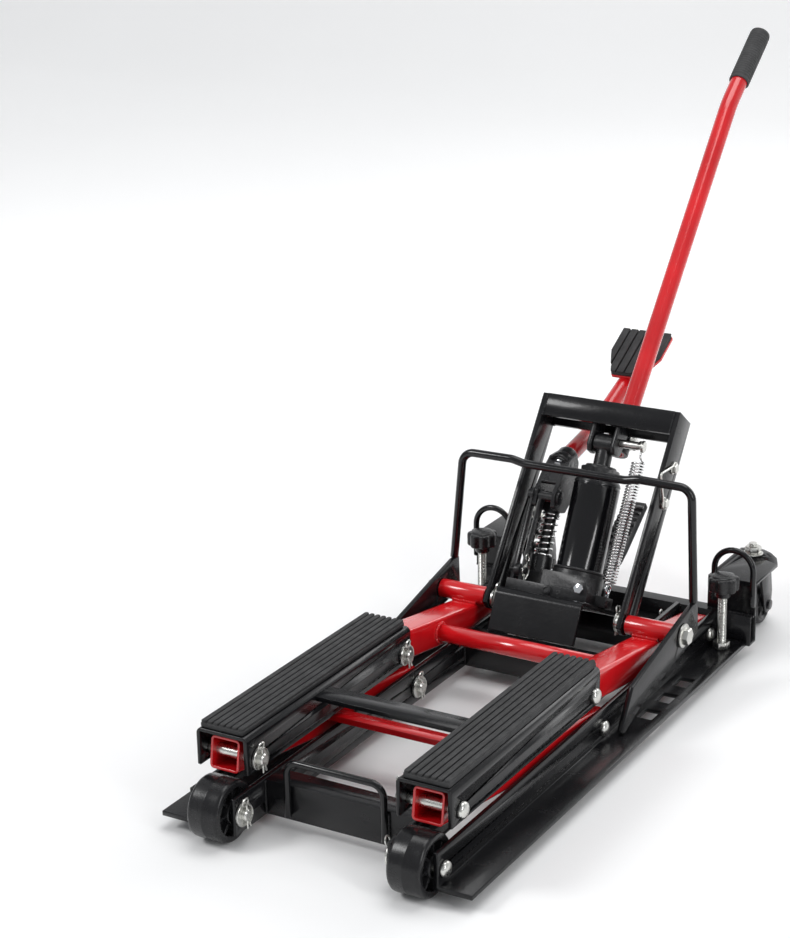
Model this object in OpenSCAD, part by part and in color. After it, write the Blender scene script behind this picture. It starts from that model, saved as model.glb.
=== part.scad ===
// Low-profile hydraulic lift jack for motorcycles and quad bikes.
// A ladder base of steel angle and flat bar carries two pairs of swinging arms,
// two rubber-topped saddles, a leaning bottle jack with a foot pump, and a yoke
// that passes the push of the ram to the rear arms. The lift is drawn lowered.
// +X is the right side, +Y points to the rear, +Z is up, the floor is at zero.

/* [Base frame] */
// Overall width of the base over the rear tube
base_width = 353.6; // [350:1:358]
// Height of the underside of the rails above the floor
rail_z = 13.6; // [12:0.2:15]
// Height of the upright leg of each outer rail
rail_height = 38.5; // [37:0.5:38.5]
// Wall thickness of the rails and cross members
rail_wall = 5; // [4:0.5:5]
// Width of the foot flange of each outer rail
flange_width = 40.2; // [36:0.2:40.2]

/* [Lifting arms] */
// Distance between the pivots at the ends of each arm
arm_length = 313.8; // [312:0.2:315]
// Rise of the arms above level when the lift is down, in degrees
arm_rise = 9; // [8.5:0.1:9.5]
// Outside size of the square arm tube
arm_size = 33.5; // [32:0.5:33.5]
// Wall thickness of the square arm tube
arm_wall = 2.5; // [2:0.5:3]

/* [Saddles] */
// Length of each saddle channel
saddle_length = 312; // [306:1:312]
// Width of each saddle channel
saddle_width = 59; // [58:0.5:59]
// Thickness of the rubber pad on each saddle
pad_height = 7.6; // [6:0.2:9]
// Number of ribs on each rubber pad
pad_ribs = 7; // [5:1:9]

/* [Jack and yoke] */
// Backward lean of the bottle jack, in degrees
jack_lean = 27.2; // [27:0.1:27.4]
// Diameter of the oil reservoir
reservoir_dia = 54; // [50:1:55]
// Diameter of the chromed ram
ram_dia = 26; // [24:1:27]
// Backward lean of the yoke when the lift is down, in degrees
yoke_lean = 36.5; // [36:0.1:37]
// Length of the yoke from its foot pins to its top face
yoke_height = 248; // [247:1:250]
// Diameter of the tow handle tube
handle_dia = 21; // [19:1:22]

/* [Wheels] */
// Diameter of the two fixed front wheels
front_wheel_dia = 64; // [60:1:64]
// Diameter of the two swivel caster wheels
caster_wheel_dia = 50; // [46:1:50]

/* [Hidden] */
$fn = 40;
y_centre = 229.42;
bore_gap = 0.3;
pin_dia = 12;
rail_top = rail_z + rail_height;
web_x = 132.6;
inner_x = 84.6;
front_pivot_y = 45;
rear_pivot_y = 325;
pivot_z = 31;
wheel_y = -292;
wheel_z = front_wheel_dia / 2;
arm_x = 96.3;
saddle_x = 82.4;
saddle_z0 = 67.8;
saddle_z1 = 107.4;
saddle_wall = 4;
saddle_y0 = -283;
saddle_pin_z = pivot_z + arm_length * sin(arm_rise);
rear_pin_y = rear_pivot_y - arm_length * cos(arm_rise);
front_pin_y = front_pivot_y - arm_length * cos(arm_rise);
stub_y = 212;
stub_z = 75;
stub_dia = 22;
jack_y = 270;
jack_z = 103;
ram_pin_a = 151.2;
upright_depth = 38;
upright_front = -13;
pump_x = -49;
spring_x = 39;
spring_foot = -9;
reservoir_top = 100;
fulcrum_p = -22;
fulcrum_a = 75;
screw_x = 154;
screw_y = 323;
caster_x = 142.5;
caster_y = 441.5;
caster_trail = 12;
tube_y = 352;
slot_ys = [123, 169, 215];
bail_dia = 9.5;
release_y = 354;
release_z = 85;

// ---------- helpers ----------
module placed() { translate([0, -y_centre, 0]) children(); }
module both() { children(); mirror([1, 0, 0]) children(); }
module at_yz(y, z) { translate([0, y, z]) children(); }
// frame of the bottle jack: z runs up the ram, y runs to the rear and down
module jack_axis() { translate([0, jack_y, jack_z]) rotate([-jack_lean, 0, 0]) children(); }
// frame of the yoke: z runs up the uprights, y runs to the rear and down
module yoke_axis() { translate([0, stub_y, stub_z]) rotate([-yoke_lean, 0, 0]) children(); }
// frame of an arm: -y runs along the arm to the saddle
module arm_axis(y) { translate([0, y, pivot_z]) rotate([-arm_rise, 0, 0]) children(); }
// round bar along X
module xbar(x0, x1, d) { translate([x0, 0, 0]) rotate([0, 90, 0]) cylinder(d = d, h = x1 - x0); }
// round washer along X
module xring(x0, x1, d, bore) {
  difference() {
    xbar(x0, x1, d);
    xbar(x0 - 1, x1 + 1, bore);
  }
}
// hexagonal head along X
module xhex(x0, x1, af) {
  translate([x0, 0, 0]) rotate([0, 90, 0]) cylinder(d = af / cos(30), h = x1 - x0, $fn = 6);
}
// straight round bar from point p to point q
module bar(p, q, d) {
  v = q - p;
  l = norm(v);
  translate(p) rotate([0, acos(v[2] / l), atan2(v[1], v[0])]) cylinder(d = d, h = l);
}
// round bar that follows a list of points, with ball corners
module bent(pts, d) {
  for (i = [0 : len(pts) - 2]) bar(pts[i], pts[i + 1], d);
  for (i = [1 : len(pts) - 2]) translate(pts[i]) sphere(d = d + 0.8);
}
// plate in the YZ plane, x0 to x0 + t, from a list of [y, z] points
module yzplate(x0, t, pts) {
  translate([x0, 0, 0]) rotate([90, 0, 90]) linear_extrude(t) polygon(pts);
}
// spring clip of bent wire with its ring, lying in a YZ plane
module wire_clip(x) {
  translate([x, 0, 0]) {
    difference() {
      union() {
        bar([0, -2, 10], [0, 5, -4], 1.8);
        bar([0, 5, -4], [0, 1, -13], 1.8);
      }
      xbar(-2, 2, pin_dia);
    }
    translate([0, -4, 12]) rotate([0, 90, 0]) rotate_extrude() translate([3.4, 0]) circle(d = 1.8, $fn = 16);
  }
}

// ---------- base ----------
module rail_outer() {
  difference() {
    union() {
      translate([web_x, -303, rail_z]) cube([rail_wall, tube_y + 303, rail_height]);
      translate([web_x, -303, rail_z]) cube([flange_width, tube_y + 303, rail_wall]);
    }
    for (p = [[wheel_y, wheel_z], [front_pivot_y, pivot_z], [rear_pivot_y, pivot_z]])
      at_yz(p[0], p[1]) xbar(web_x - 1, web_x + rail_wall + 1, pin_dia + 0.1);
    translate([screw_x, screw_y, rail_z - 1]) cylinder(d = 11.2, h = rail_wall + 2);
    for (y = slot_ys) translate([146, y - 12.5, rail_z - 1]) cube([17, 25, rail_wall + 2]);
  }
}
module rail_inner() {
  difference() {
    translate([inner_x, -304, rail_z - 0.6]) cube([rail_wall, tube_y + 304, rail_height]);
    for (p = [[wheel_y, wheel_z], [front_pivot_y, pivot_z], [rear_pivot_y, pivot_z]])
      at_yz(p[0], p[1]) xbar(inner_x - 1, inner_x + rail_wall + 1, pin_dia + 0.1);
  }
}
module rail_outer_right() { color([0.04, 0.04, 0.045]) placed() rail_outer(); }
module rail_outer_left() { color([0.04, 0.04, 0.045]) placed() mirror([1, 0, 0]) rail_outer(); }
module rails_inner() { color([0.05, 0.05, 0.055]) placed() both() rail_inner(); }
module cross_front() {
  color([0.04, 0.04, 0.045]) placed() {
    translate([-inner_x, -251, rail_z]) cube([2 * inner_x, rail_wall, 37.4]);
    translate([-inner_x, -251 + rail_wall, rail_z + 37.4 - rail_wall]) cube([2 * inner_x, 22, rail_wall]);
  }
}
module cross_mid() {
  color([0.04, 0.04, 0.045]) placed() {
    translate([-inner_x, 152, rail_z]) cube([2 * inner_x, rail_wall, 36]);
    translate([-inner_x, 152 + rail_wall, rail_z + 36 - rail_wall]) cube([2 * inner_x, 22, rail_wall]);
  }
}
module cross_jack() {
  color([0.04, 0.04, 0.045]) placed() {
    translate([-inner_x, 282, rail_z]) cube([2 * inner_x, rail_wall, 33]);
    translate([-inner_x, 282 + rail_wall, rail_z]) cube([2 * inner_x, 22, rail_wall]);
  }
}
module cross_rear() {
  color([0.04, 0.04, 0.045]) placed() difference() {
    translate([-base_width / 2, tube_y, 13]) cube([base_width, 18, 36]);
    translate([-base_width / 2 - 1, tube_y + 2.5, 15.5]) cube([base_width + 2, 13, 31]);
  }
}
module carry_loop() {
  color([0.03, 0.03, 0.035]) placed()
    bent([[-57, -254.5, 18], [-57, -254.5, 78], [52, -254.5, 78], [52, -254.5, 18]], 7);
}
module jack_mount() {
  color([0.04, 0.04, 0.045]) placed() jack_axis() {
    translate([-70, -58, -42]) cube([107, 102, 5]);
    translate([-70, -58, -88]) cube([107, 5, 46]);
  }
}
module jack_base() {
  color([0.03, 0.03, 0.03]) placed() jack_axis() difference() {
    union() {
      translate([-70, -36, -37]) cube([101, 68, 12]);
      translate([0, 0, -37]) cylinder(d = 60, h = 34);
      translate([-30, -31, -37]) cube([58, 31, 29]);
      translate([-64, -16, -37]) cube([40, 32, 26]);
      translate([24, -10, -37]) cube([20, 20, 12]);
      translate([-18, 20, -37]) cube([26, 20, 22]);
      translate([22, -31, -23]) rotate([90, 0, 0]) cylinder(d = 16, h = 5);
      translate([-18, -36, -31]) rotate([90, 0, 0]) cylinder(d = 12, h = 2.5);
    }
    translate([0, 0, -12]) cylinder(d = ram_dia + 2, h = 20);
    translate([pump_x, 0, -30]) cylinder(d = 26.1, h = 30);
    translate([spring_x, 0, -40]) cylinder(d = 6.2, h = 30);
  }
}
module jack_reservoir() {
  color([0.02, 0.02, 0.02]) placed() jack_axis() difference() {
    translate([0, 0, -3]) cylinder(d = reservoir_dia, h = reservoir_top + 3);
    translate([0, 0, -4]) cylinder(d = ram_dia + 6, h = reservoir_top + 5);
  }
}
module jack_cap() {
  color([0.03, 0.03, 0.03]) placed() jack_axis() difference() {
    union() {
      translate([0, 0, reservoir_top]) cylinder(d1 = reservoir_dia, d2 = 48, h = 6);
      translate([0, 0, reservoir_top + 6]) cylinder(d = 48, h = 5);
      translate([0, 0, reservoir_top + 11]) cylinder(d = 40 / cos(30), h = 8, $fn = 6);
      translate([0, 0, reservoir_top + 19]) cylinder(d = 36, h = 3);
      translate([0, 0, reservoir_top - 15]) cylinder(d = ram_dia + 5.8, h = 15);
    }
    translate([0, 0, reservoir_top - 16]) cylinder(d = ram_dia + 0.6, h = 40);
  }
}
module jack_valves() {
  color([0.8, 0.8, 0.82]) placed() jack_axis() {
    translate([22, -36, -23]) rotate([90, 0, 0]) cylinder(d = 10 / cos(30), h = 7, $fn = 6);
    translate([spring_x, 0, -37]) cylinder(d = 6, h = 37 + spring_foot - 12);
    translate([spring_x, 0, spring_foot - 7]) rotate([0, 90, 0]) rotate_extrude() translate([5, 0])
      circle(d = 4, $fn = 20);
  }
  color([0.8, 0.8, 0.82]) placed() {
    at_yz(release_y, release_z) xbar(-26, 11, 8);
    at_yz(release_y, release_z) xhex(-31, -26, 13);
    bar([-28, release_y, release_z - 4], [-81, release_y + 4, 56], 5);
  }
}
module pump_barrel() {
  color([0.03, 0.03, 0.03]) placed() jack_axis() translate([pump_x, 0, 0]) difference() {
    translate([0, 0, -30]) cylinder(d = 26, h = 38);
    translate([0, 0, -24]) cylinder(d = 14.6, h = 34);
  }
}
module pump_links() {
  color([0.03, 0.03, 0.03]) placed() jack_axis() {
    for (x = [pump_x - 18.5, pump_x - 8])
      yzplate(x, 4, [[-34, -25], [-26, -25], [-17, 70], [-17, 82], [-27, 82], [-27, 70]]);
    at_yz(fulcrum_p, fulcrum_a) {
      xbar(pump_x - 22, pump_x + 14.5, pin_dia);
      xbar(pump_x + 14.5, pump_x + 17.5, 16);
    }
    at_yz(-30, -14) {
      xbar(pump_x - 20.5, pump_x - 2, 8);
      xbar(pump_x - 14.5, pump_x - 8, 15);
    }
  }
}
module caster_bracket() {
  difference() {
    union() {
      translate([122, 356, 49]) cube([58, 5, 41]);
      translate([0, 0, 86]) linear_extrude(4)
        polygon([[122, 361], [180, 361], [180, 424], [172, 442], [160, 455], [148, 462], [136, 462], [122, 455]]);
    }
    translate([caster_x, caster_y, 80]) cylinder(d = 10.1, h = 20);
  }
}
module caster_brackets() { color([0.03, 0.03, 0.035]) placed() both() caster_bracket(); }
module caster_bolts() {
  color([0.78, 0.78, 0.8]) placed() both() translate([caster_x, caster_y, 0]) {
    translate([0, 0, 68]) cylinder(d = 10, h = 36);
    translate([0, 0, 62]) cylinder(d = 15 / cos(30), h = 6, $fn = 6);
    difference() {
      union() {
        translate([0, 0, 90]) cylinder(d = 24, h = 2);
        translate([0, 0, 92]) cylinder(d = 17 / cos(30), h = 8, $fn = 6);
      }
      translate([0, 0, 60]) cylinder(d = 10, h = 50);
    }
  }
}
module tie_loop() {
  translate([154.5, tube_y, 103]) rotate([90, 0, 0]) rotate_extrude(angle = 180) translate([23.5, 0]) circle(d = 7);
  bar([131, tube_y, 62], [131, tube_y, 103], 7);
  bar([178, tube_y, 62], [178, tube_y, 103], 7);
}
module tie_loops() { color([0.03, 0.03, 0.035]) placed() both() translate([0, 0.4, 0]) tie_loop(); }
module base_pin() {
  xbar(77, 138, pin_dia);
  xbar(138, 144, 16);
}
module base_pins() {
  color([0.8, 0.8, 0.82]) placed() both() {
    at_yz(wheel_y, wheel_z) base_pin();
    at_yz(front_pivot_y, pivot_z) base_pin();
    at_yz(rear_pivot_y, pivot_z) base_pin();
  }
}
module base_clip() {
  xring(81.6, 84.2, 25, pin_dia + 0.1);
  wire_clip(79);
}
module base_clips() {
  color([0.85, 0.85, 0.87]) placed() both() {
    at_yz(wheel_y, wheel_z) base_clip();
    at_yz(front_pivot_y, pivot_z) base_clip();
    at_yz(rear_pivot_y, pivot_z) base_clip();
    translate([screw_x, screw_y, rail_z + rail_wall]) difference() {
      cylinder(d = 17 / cos(30), h = 8, $fn = 6);
      translate([0, 0, -1]) cylinder(d = 11.2, h = 10);
    }
  }
}
module return_spring() {
  color([0.82, 0.82, 0.84]) placed() jack_axis() translate([spring_x, 0, spring_foot]) rotate([0, 2, 0]) difference() {
    cylinder(d = 16.4, h = 143);
    translate([0, 0, -1]) cylinder(d = 11.6, h = 145);
  }
}
module pump_spring() {
  color([0.82, 0.82, 0.84]) placed() jack_axis() translate([pump_x, 0, 8.2]) difference() {
    cylinder(d = 21, h = 36);
    translate([0, 0, -1]) cylinder(d = 16, h = 38);
  }
}

// ---------- front wheels ----------
module front_wheel() {
  at_yz(wheel_y, wheel_z) translate([93, 0, 0]) rotate([0, 90, 0]) rotate_extrude($fn = 72)
    polygon([[6.3, 0], [12, 0], [12, 6], [23, 6], [24, 1], [27, 0], [30.5, 2], [32, 6], [32, 30],
      [30.5, 34], [27, 36], [24, 35], [23, 30], [12, 30], [12, 36], [6.3, 36]] * (front_wheel_dia / 64));
}
module front_wheel_right() { color([0.05, 0.05, 0.05]) placed() front_wheel(); }
module front_wheel_left() { color([0.05, 0.05, 0.05]) placed() mirror([1, 0, 0]) front_wheel(); }

// ---------- arms ----------
// square tube arm; over is how far it runs past the saddle pin
module arm(over) {
  translate([arm_x, 0, 0]) difference() {
    translate([0, -arm_length - over, -arm_size / 2]) cube([arm_size, arm_length + over + 16, arm_size]);
    translate([arm_wall, -arm_length - over - 1, -arm_size / 2 + arm_wall])
      cube([arm_size - 2 * arm_wall, arm_length + over + 18, arm_size - 2 * arm_wall]);
    xbar(-1, arm_size + 1, pin_dia + 2 * bore_gap);
    translate([0, -arm_length, 0]) xbar(-1, arm_size + 1, pin_dia + 2 * bore_gap);
  }
}
module rear_arm() {
  difference() {
    arm_axis(rear_pivot_y) arm(14);
    at_yz(stub_y, stub_z) xbar(arm_x - 2, arm_x + arm_size + 2, stub_dia);
  }
}
module rear_arm_right() { color([0.75, 0.03, 0.04]) placed() rear_arm(); }
module rear_arm_left() { color([0.75, 0.03, 0.04]) placed() mirror([1, 0, 0]) rear_arm(); }
module rear_arm_tube() { color([0.75, 0.03, 0.04]) placed() at_yz(117.6, 64.5) xbar(-arm_x, arm_x, 20.5); }
module stubs() { color([0.75, 0.03, 0.04]) placed() both() at_yz(stub_y, stub_z) xbar(88, 146, stub_dia); }
module stub_bolts() {
  color([0.8, 0.8, 0.82]) placed() both() at_yz(stub_y, stub_z) {
    xbar(146, 154, pin_dia);
    xbar(153.5, 156, 27);
    xhex(156, 162, 17);
    xbar(73, 88, pin_dia);
    xring(76.5, 79.4, 22, pin_dia + 0.1);
    wire_clip(75);
  }
}
module front_arm() { arm_axis(front_pivot_y) arm(12); }
module front_arm_right() { color([0.75, 0.03, 0.04]) placed() front_arm(); }
module front_arm_left() { color([0.75, 0.03, 0.04]) placed() mirror([1, 0, 0]) front_arm(); }
module front_arm_bar() {
  color([0.75, 0.03, 0.04]) placed() arm_axis(front_pivot_y)
    translate([-arm_x, -167, 0]) cube([2 * arm_x, 25, 6]);
}

// ---------- saddles ----------
module saddle_section() {
  r = 6;
  difference() {
    union() {
      translate([0, 0]) square([saddle_width, saddle_z1 - saddle_z0 - r]);
      translate([r, 0]) square([saddle_width - 2 * r, saddle_z1 - saddle_z0]);
      translate([r, saddle_z1 - saddle_z0 - r]) circle(r = r);
      translate([saddle_width - r, saddle_z1 - saddle_z0 - r]) circle(r = r);
    }
    translate([saddle_wall, -1]) square([saddle_width - 2 * saddle_wall, saddle_z1 - saddle_z0 - saddle_wall + 1]);
  }
}
module saddle() {
  difference() {
    translate([saddle_x, saddle_y0 + saddle_length, saddle_z0]) rotate([90, 0, 0])
      linear_extrude(saddle_length) saddle_section();
    for (y = [rear_pin_y, front_pin_y])
      at_yz(y, saddle_pin_z) xbar(saddle_x - 1, saddle_x + saddle_width + 1, pin_dia + 0.1);
  }
}
module saddle_right() { color([0.04, 0.04, 0.045]) placed() saddle(); }
module saddle_left() { color([0.04, 0.04, 0.045]) placed() mirror([1, 0, 0]) saddle(); }
module pad() {
  w = saddle_width - 9.4;
  l = saddle_length - 3.5;
  pitch = w / pad_ribs;
  translate([saddle_x + 6, saddle_y0 + 2, saddle_z1]) {
    cube([w, l, pad_height - 2.4]);
    for (i = [0 : pad_ribs - 1])
      translate([i * pitch + (i == 0 ? 0 : 0.9), 0, pad_height - 2.4])
        cube([pitch - (i == 0 || i == pad_ribs - 1 ? 0.9 : 1.8), l, 2.4]);
  }
}
module pad_right() { color([0.07, 0.07, 0.07]) placed() pad(); }
module pad_left() { color([0.07, 0.07, 0.07]) placed() mirror([1, 0, 0]) pad(); }
module saddle_brace() {
  color([0.04, 0.04, 0.045]) placed() translate([-saddle_x, -161, 98]) cube([2 * saddle_x, 28, 5]);
}
module saddle_pins() {
  color([0.8, 0.8, 0.82]) placed() both() for (y = [rear_pin_y, front_pin_y]) at_yz(y, saddle_pin_z) {
    xbar(74, 141.6, pin_dia);
    xbar(141.6, 148, 17);
  }
}
module saddle_clips() {
  color([0.85, 0.85, 0.87]) placed() both() for (y = [rear_pin_y, front_pin_y]) at_yz(y, saddle_pin_z) {
    xring(79.4, 82.2, 23, pin_dia + 0.1);
    wire_clip(76.5);
  }
}

// ---------- yoke ----------
module upright() {
  difference() {
    union() {
      translate([80, upright_front, 0]) cube([6, upright_depth, yoke_height]);
      translate([80, upright_front, -10]) cube([6, 26, 12]);
      xbar(80, 86, 26);
    }
    xbar(79, 87, pin_dia + 2 * bore_gap);
  }
}
module uprights() { color([0.04, 0.04, 0.045]) placed() both() yoke_axis() upright(); }
module crossbar() {
  color([0.04, 0.04, 0.045]) placed() yoke_axis() translate([-80, 0, 0]) {
    translate([0, upright_front, yoke_height - 5]) cube([160, upright_depth, 5]);
    translate([0, upright_front, yoke_height - 27]) cube([160, 5, 22]);
    translate([0, upright_front + upright_depth - 5, yoke_height - 27]) cube([160, 5, 22]);
  }
}
module clevis_plates() {
  color([0.03, 0.03, 0.035]) placed() yoke_axis() for (x = [-17.3, 12.3])
    yzplate(x, 5, [[-7.8, 243], [19.8, 243], [19.8, 221], [14, 194], [9, 190], [-3, 190], [-7.8, 196]]);
}
module handle_socket() {
  color([0.03, 0.03, 0.035]) placed() yoke_axis() {
    translate([0, 40.6, 228]) rotate([-4.9, 0, 0]) difference() {
      translate([0, 0, -25]) cylinder(d = 29, h = 50);
      translate([0, 0, -26]) cylinder(d = handle_dia, h = 52);
    }
  }
  color([0.8, 0.8, 0.82]) placed() yoke_axis() translate([0, 40.6, 228]) rotate([-4.9, 0, 0])
    translate([0, 0, -10]) {
      xbar(14.5, 16, 16);
      xhex(16, 21.5, 13);
    }
}
module handle_tube() {
  color([0.75, 0.03, 0.04]) placed() yoke_axis() translate([0, 40.6, 228]) rotate([-4.9, 0, 0])
    difference() {
      union() {
        translate([0, 0, -25]) cylinder(d = handle_dia, h = 476);
        translate([0, 0, 451]) {
          sphere(d = handle_dia);
          rotate([-11.6, 0, 0]) cylinder(d = handle_dia, h = 119);
        }
      }
      translate([0, 0, -26]) cylinder(d = handle_dia - 5, h = 477);
      translate([0, 0, 451]) {
        sphere(d = handle_dia - 5);
        rotate([-11.6, 0, 0]) cylinder(d = handle_dia - 5, h = 116);
      }
    }
}
module handle_grip() {
  color([0.08, 0.08, 0.08]) placed() yoke_axis() translate([0, 40.6, 228]) rotate([-4.9, 0, 0])
    translate([0, 0, 451]) rotate([-11.6, 0, 0]) difference() {
      union() {
        translate([0, 0, 38]) cylinder(d = handle_dia + 4.6, h = 83);
        translate([0, 0, 36]) cylinder(d = handle_dia + 3, h = 2);
      }
      translate([0, 0, 35]) cylinder(d = handle_dia, h = 84);
    }
}
module latch() {
  color([0.8, 0.8, 0.82]) placed() yoke_axis() {
    for (a = [188, 146]) at_yz(9, a) {
      xbar(86, 87.5, 14);
      xhex(87.5, 91.5, 10);
    }
    translate([88.6, 0, 0]) {
      bar([0, 2, 188], [0, -26, 169], 2.6);
      bar([0, 2, 146], [0, -26, 169], 2.6);
      translate([0, -26, 169]) sphere(d = 2.6);
    }
  }
}

// ---------- ram ----------
module ram_rod() {
  color([0.85, 0.85, 0.86]) placed() jack_axis() {
    translate([0, 0, -8]) cylinder(d = ram_dia, h = 126);
    translate([0, 0, 118]) cylinder(d1 = ram_dia, d2 = 21, h = 3);
  }
}
module ram_head() {
  color([0.03, 0.03, 0.03]) placed() jack_axis() {
    translate([0, 0, 121]) cylinder(d = 20, h = 21);
    intersection() {
      translate([-11.3, -12, 142]) cube([22.6, 15.5, 18]);
      at_yz(0, 148) xbar(-12, 12, 25);
    }
  }
  color([0.82, 0.82, 0.84]) placed() jack_axis() at_yz(0, ram_pin_a) {
    xbar(17.8, 44, 9.5);
    xbar(44, 47.5, 14);
    xbar(-22, -17.8, 14);
  }
}

// ---------- locking bail ----------
module bail_rod() {
  color([0.03, 0.03, 0.035]) placed() bent([[-150, 247, 100.5], [-142, 255, 215], [-131, 255, 229],
    [131, 255, 229], [142, 255, 215], [150, 247, 100.5]], bail_dia);
}
module lock_plate() {
  difference() {
    yzplate(147, 6, [[241, 100], [253, 100], [255, 63], [227, 55], [190, 49], [110, 36], [65, 19.5], [58, 23],
      [86, 64], [196, 90]]);
    at_yz(stub_y, stub_z) xbar(146, 154, pin_dia + 2 * bore_gap);
  }
}
module lock_plates() { color([0.04, 0.04, 0.045]) placed() both() lock_plate(); }

// ---------- pump ----------
module pedal_lever() {
  color([0.03, 0.03, 0.03]) placed() jack_axis() {
    difference() {
      union() {
        for (x = [pump_x - 14, pump_x + 9.5])
          yzplate(x, 4.5, [[-28, 62], [-30, 80], [-20, 104], [-8, 124], [4, 130], [14, 124], [20, 100], [16, 78],
            [6, 62], [-4, 60]]);
        translate([pump_x - 9.5, -10, 104]) cube([19, 18, 20]);
      }
      at_yz(fulcrum_p, fulcrum_a) xbar(pump_x - 15, pump_x + 15, pin_dia + 2 * bore_gap);
    }
  }
  color([0.03, 0.03, 0.03]) placed()
    bar([pump_x, 316, 207.5], [pump_x, 341, 212.4], 29);
  color([0.75, 0.03, 0.04]) placed() {
    bent([[pump_x, 339, 212], [-48, 410, 226], [-43, 512, 274]], 21);
    foot_pad_plane() translate([-32.5, -46, -4]) pad_outline(4);
  }
}
// frame on the foot pad: y runs up its slope to the rear
module foot_pad_plane() { translate([-42.5, 518, 294]) rotate([28, 0, 0]) children(); }
module pad_outline(t) {
  linear_extrude(t) polygon([[15, 0], [50, 0], [65, 38], [65, 78], [0, 78], [0, 38]]);
}
module pedal_pad() {
  color([0.07, 0.07, 0.07]) placed() foot_pad_plane() translate([-32.5, -46, 0]) {
    pad_outline(4);
    intersection() {
      pad_outline(6.5);
      for (i = [0 : 5]) translate([0.9 + i * 10.8, 0, 3.5]) cube([9.2, 78, 3]);
    }
    for (p = [[8, 42], [57, 42], [10, 68], [55, 68]])
      translate([p[0], p[1], -9]) cylinder(d = 9, h = 5);
  }
}
module pump_piston() {
  color([0.03, 0.03, 0.03]) placed() jack_axis() translate([pump_x, 0, 0]) {
    translate([0, 0, -9]) cylinder(d = 14, h = 68);
    translate([0, 0, 59]) cylinder(d = 18.6, h = 3);
    translate([-8.8, -7, 62]) cube([17.6, 14, 12]);
  }
}
module release_pedal() {
  color([0.03, 0.03, 0.03]) placed() translate([-5, 0, 0]) difference() {
    union() {
      yzplate(-13, 26, [[304, 64], [304, 71], [345, 90], [372, 97], [434, 133], [439, 126], [384, 88], [366, 78],
        [340, 76]]);
      for (i = [0 : 6]) translate([0, 377 + i * 8.2, 98.4 + i * 4.76]) rotate([30.1, 0, 0])
        translate([-13, 0, 0]) cube([26, 4, 3]);
    }
    at_yz(release_y, release_z) xbar(-14, 14, 8.6);
  }
}

// ---------- casters ----------
module caster_fork() {
  translate([caster_x, caster_y, 0]) {
    difference() {
      union() {
        translate([0, 0, 76]) cylinder(d = 36, h = 9.6);
        translate([-17, -16, 73]) cube([34, 32, 3]);
      }
      translate([0, 0, 60]) cylinder(d = 10.8, h = 40);
    }
    for (x = [-17, 14]) difference() {
      yzplate(x, 3, [[-16, 73], [16, 73], [22, 40], [20, 20], [14, 16], [8, 16], [2, 20], [-6, 44]]);
      at_yz(caster_trail, caster_wheel_dia / 2) xbar(x - 1, x + 4, 8);
    }
    at_yz(caster_trail, caster_wheel_dia / 2) {
      xbar(-17, 17, 8);
      xbar(-19.5, -17, 12);
      xbar(17, 19.5, 12);
    }
  }
}
module caster_wheel() {
  translate([caster_x - 11.5, caster_y + caster_trail, caster_wheel_dia / 2]) rotate([0, 90, 0])
    rotate_extrude($fn = 60) polygon([[4.3, 0], [9, 0], [9, 3], [19, 3], [20, 0], [23.5, 0], [25, 2], [25, 21],
      [23.5, 23], [20, 23], [19, 20], [9, 20], [9, 23], [4.3, 23]] * (caster_wheel_dia / 50));
}
module caster_fork_right() { color([0.04, 0.04, 0.045]) placed() caster_fork(); }
module caster_fork_left() { color([0.04, 0.04, 0.045]) placed() mirror([1, 0, 0]) caster_fork(); }
module caster_wheel_right() { color([0.05, 0.05, 0.05]) placed() caster_wheel(); }
module caster_wheel_left() { color([0.05, 0.05, 0.05]) placed() mirror([1, 0, 0]) caster_wheel(); }

// ---------- levelling screws ----------
module level_screw() {
  color([0.78, 0.78, 0.8]) translate([screw_x, screw_y, 5]) cylinder(d = 10.5, h = 76);
  color([0.04, 0.04, 0.04]) translate([screw_x, screw_y, 0]) {
    translate([0, 0, 81]) cylinder(d = 17, h = 8);
    difference() {
      translate([0, 0, 89]) cylinder(d = 36, h = 16);
      for (i = [0 : 6]) rotate([0, 0, i * 360 / 7]) translate([20.5, 0, 88]) cylinder(d = 9, h = 18);
    }
    translate([0, 0, 105]) cylinder(d1 = 30, d2 = 24, h = 2);
  }
}
module level_screw_right() { placed() level_screw(); }
module level_screw_left() { placed() mirror([1, 0, 0]) level_screw(); }
rail_outer_right();
rail_outer_left();
rails_inner();
cross_front();
cross_mid();
cross_jack();
cross_rear();
carry_loop();
jack_mount();
jack_base();
jack_reservoir();
jack_cap();
jack_valves();
pump_barrel();
pump_links();
caster_brackets();
caster_bolts();
tie_loops();
base_pins();
base_clips();
return_spring();
pump_spring();
front_wheel_right();
front_wheel_left();
rear_arm_right();
rear_arm_left();
rear_arm_tube();
stubs();
stub_bolts();
front_arm_right();
front_arm_left();
front_arm_bar();
saddle_right();
saddle_left();
pad_right();
pad_left();
saddle_brace();
saddle_pins();
saddle_clips();
uprights();
crossbar();
clevis_plates();
handle_socket();
handle_tube();
handle_grip();
latch();
ram_rod();
ram_head();
bail_rod();
lock_plates();
pedal_lever();
pedal_pad();
pump_piston();
release_pedal();
caster_fork_right();
caster_fork_left();
caster_wheel_right();
caster_wheel_left();
level_screw_right();
level_screw_left();
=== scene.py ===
"""Looks for a low-profile hydraulic lift jack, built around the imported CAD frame.

Lengths inside this script are millimetres in the lift's own frame: x to the right, y to the rear,
z up from the floor. piece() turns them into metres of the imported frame, whose y is Y_CENTRE less.
"""

import math

import bpy
import bmesh
import numpy as np
from mathutils import Matrix, Vector


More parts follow.
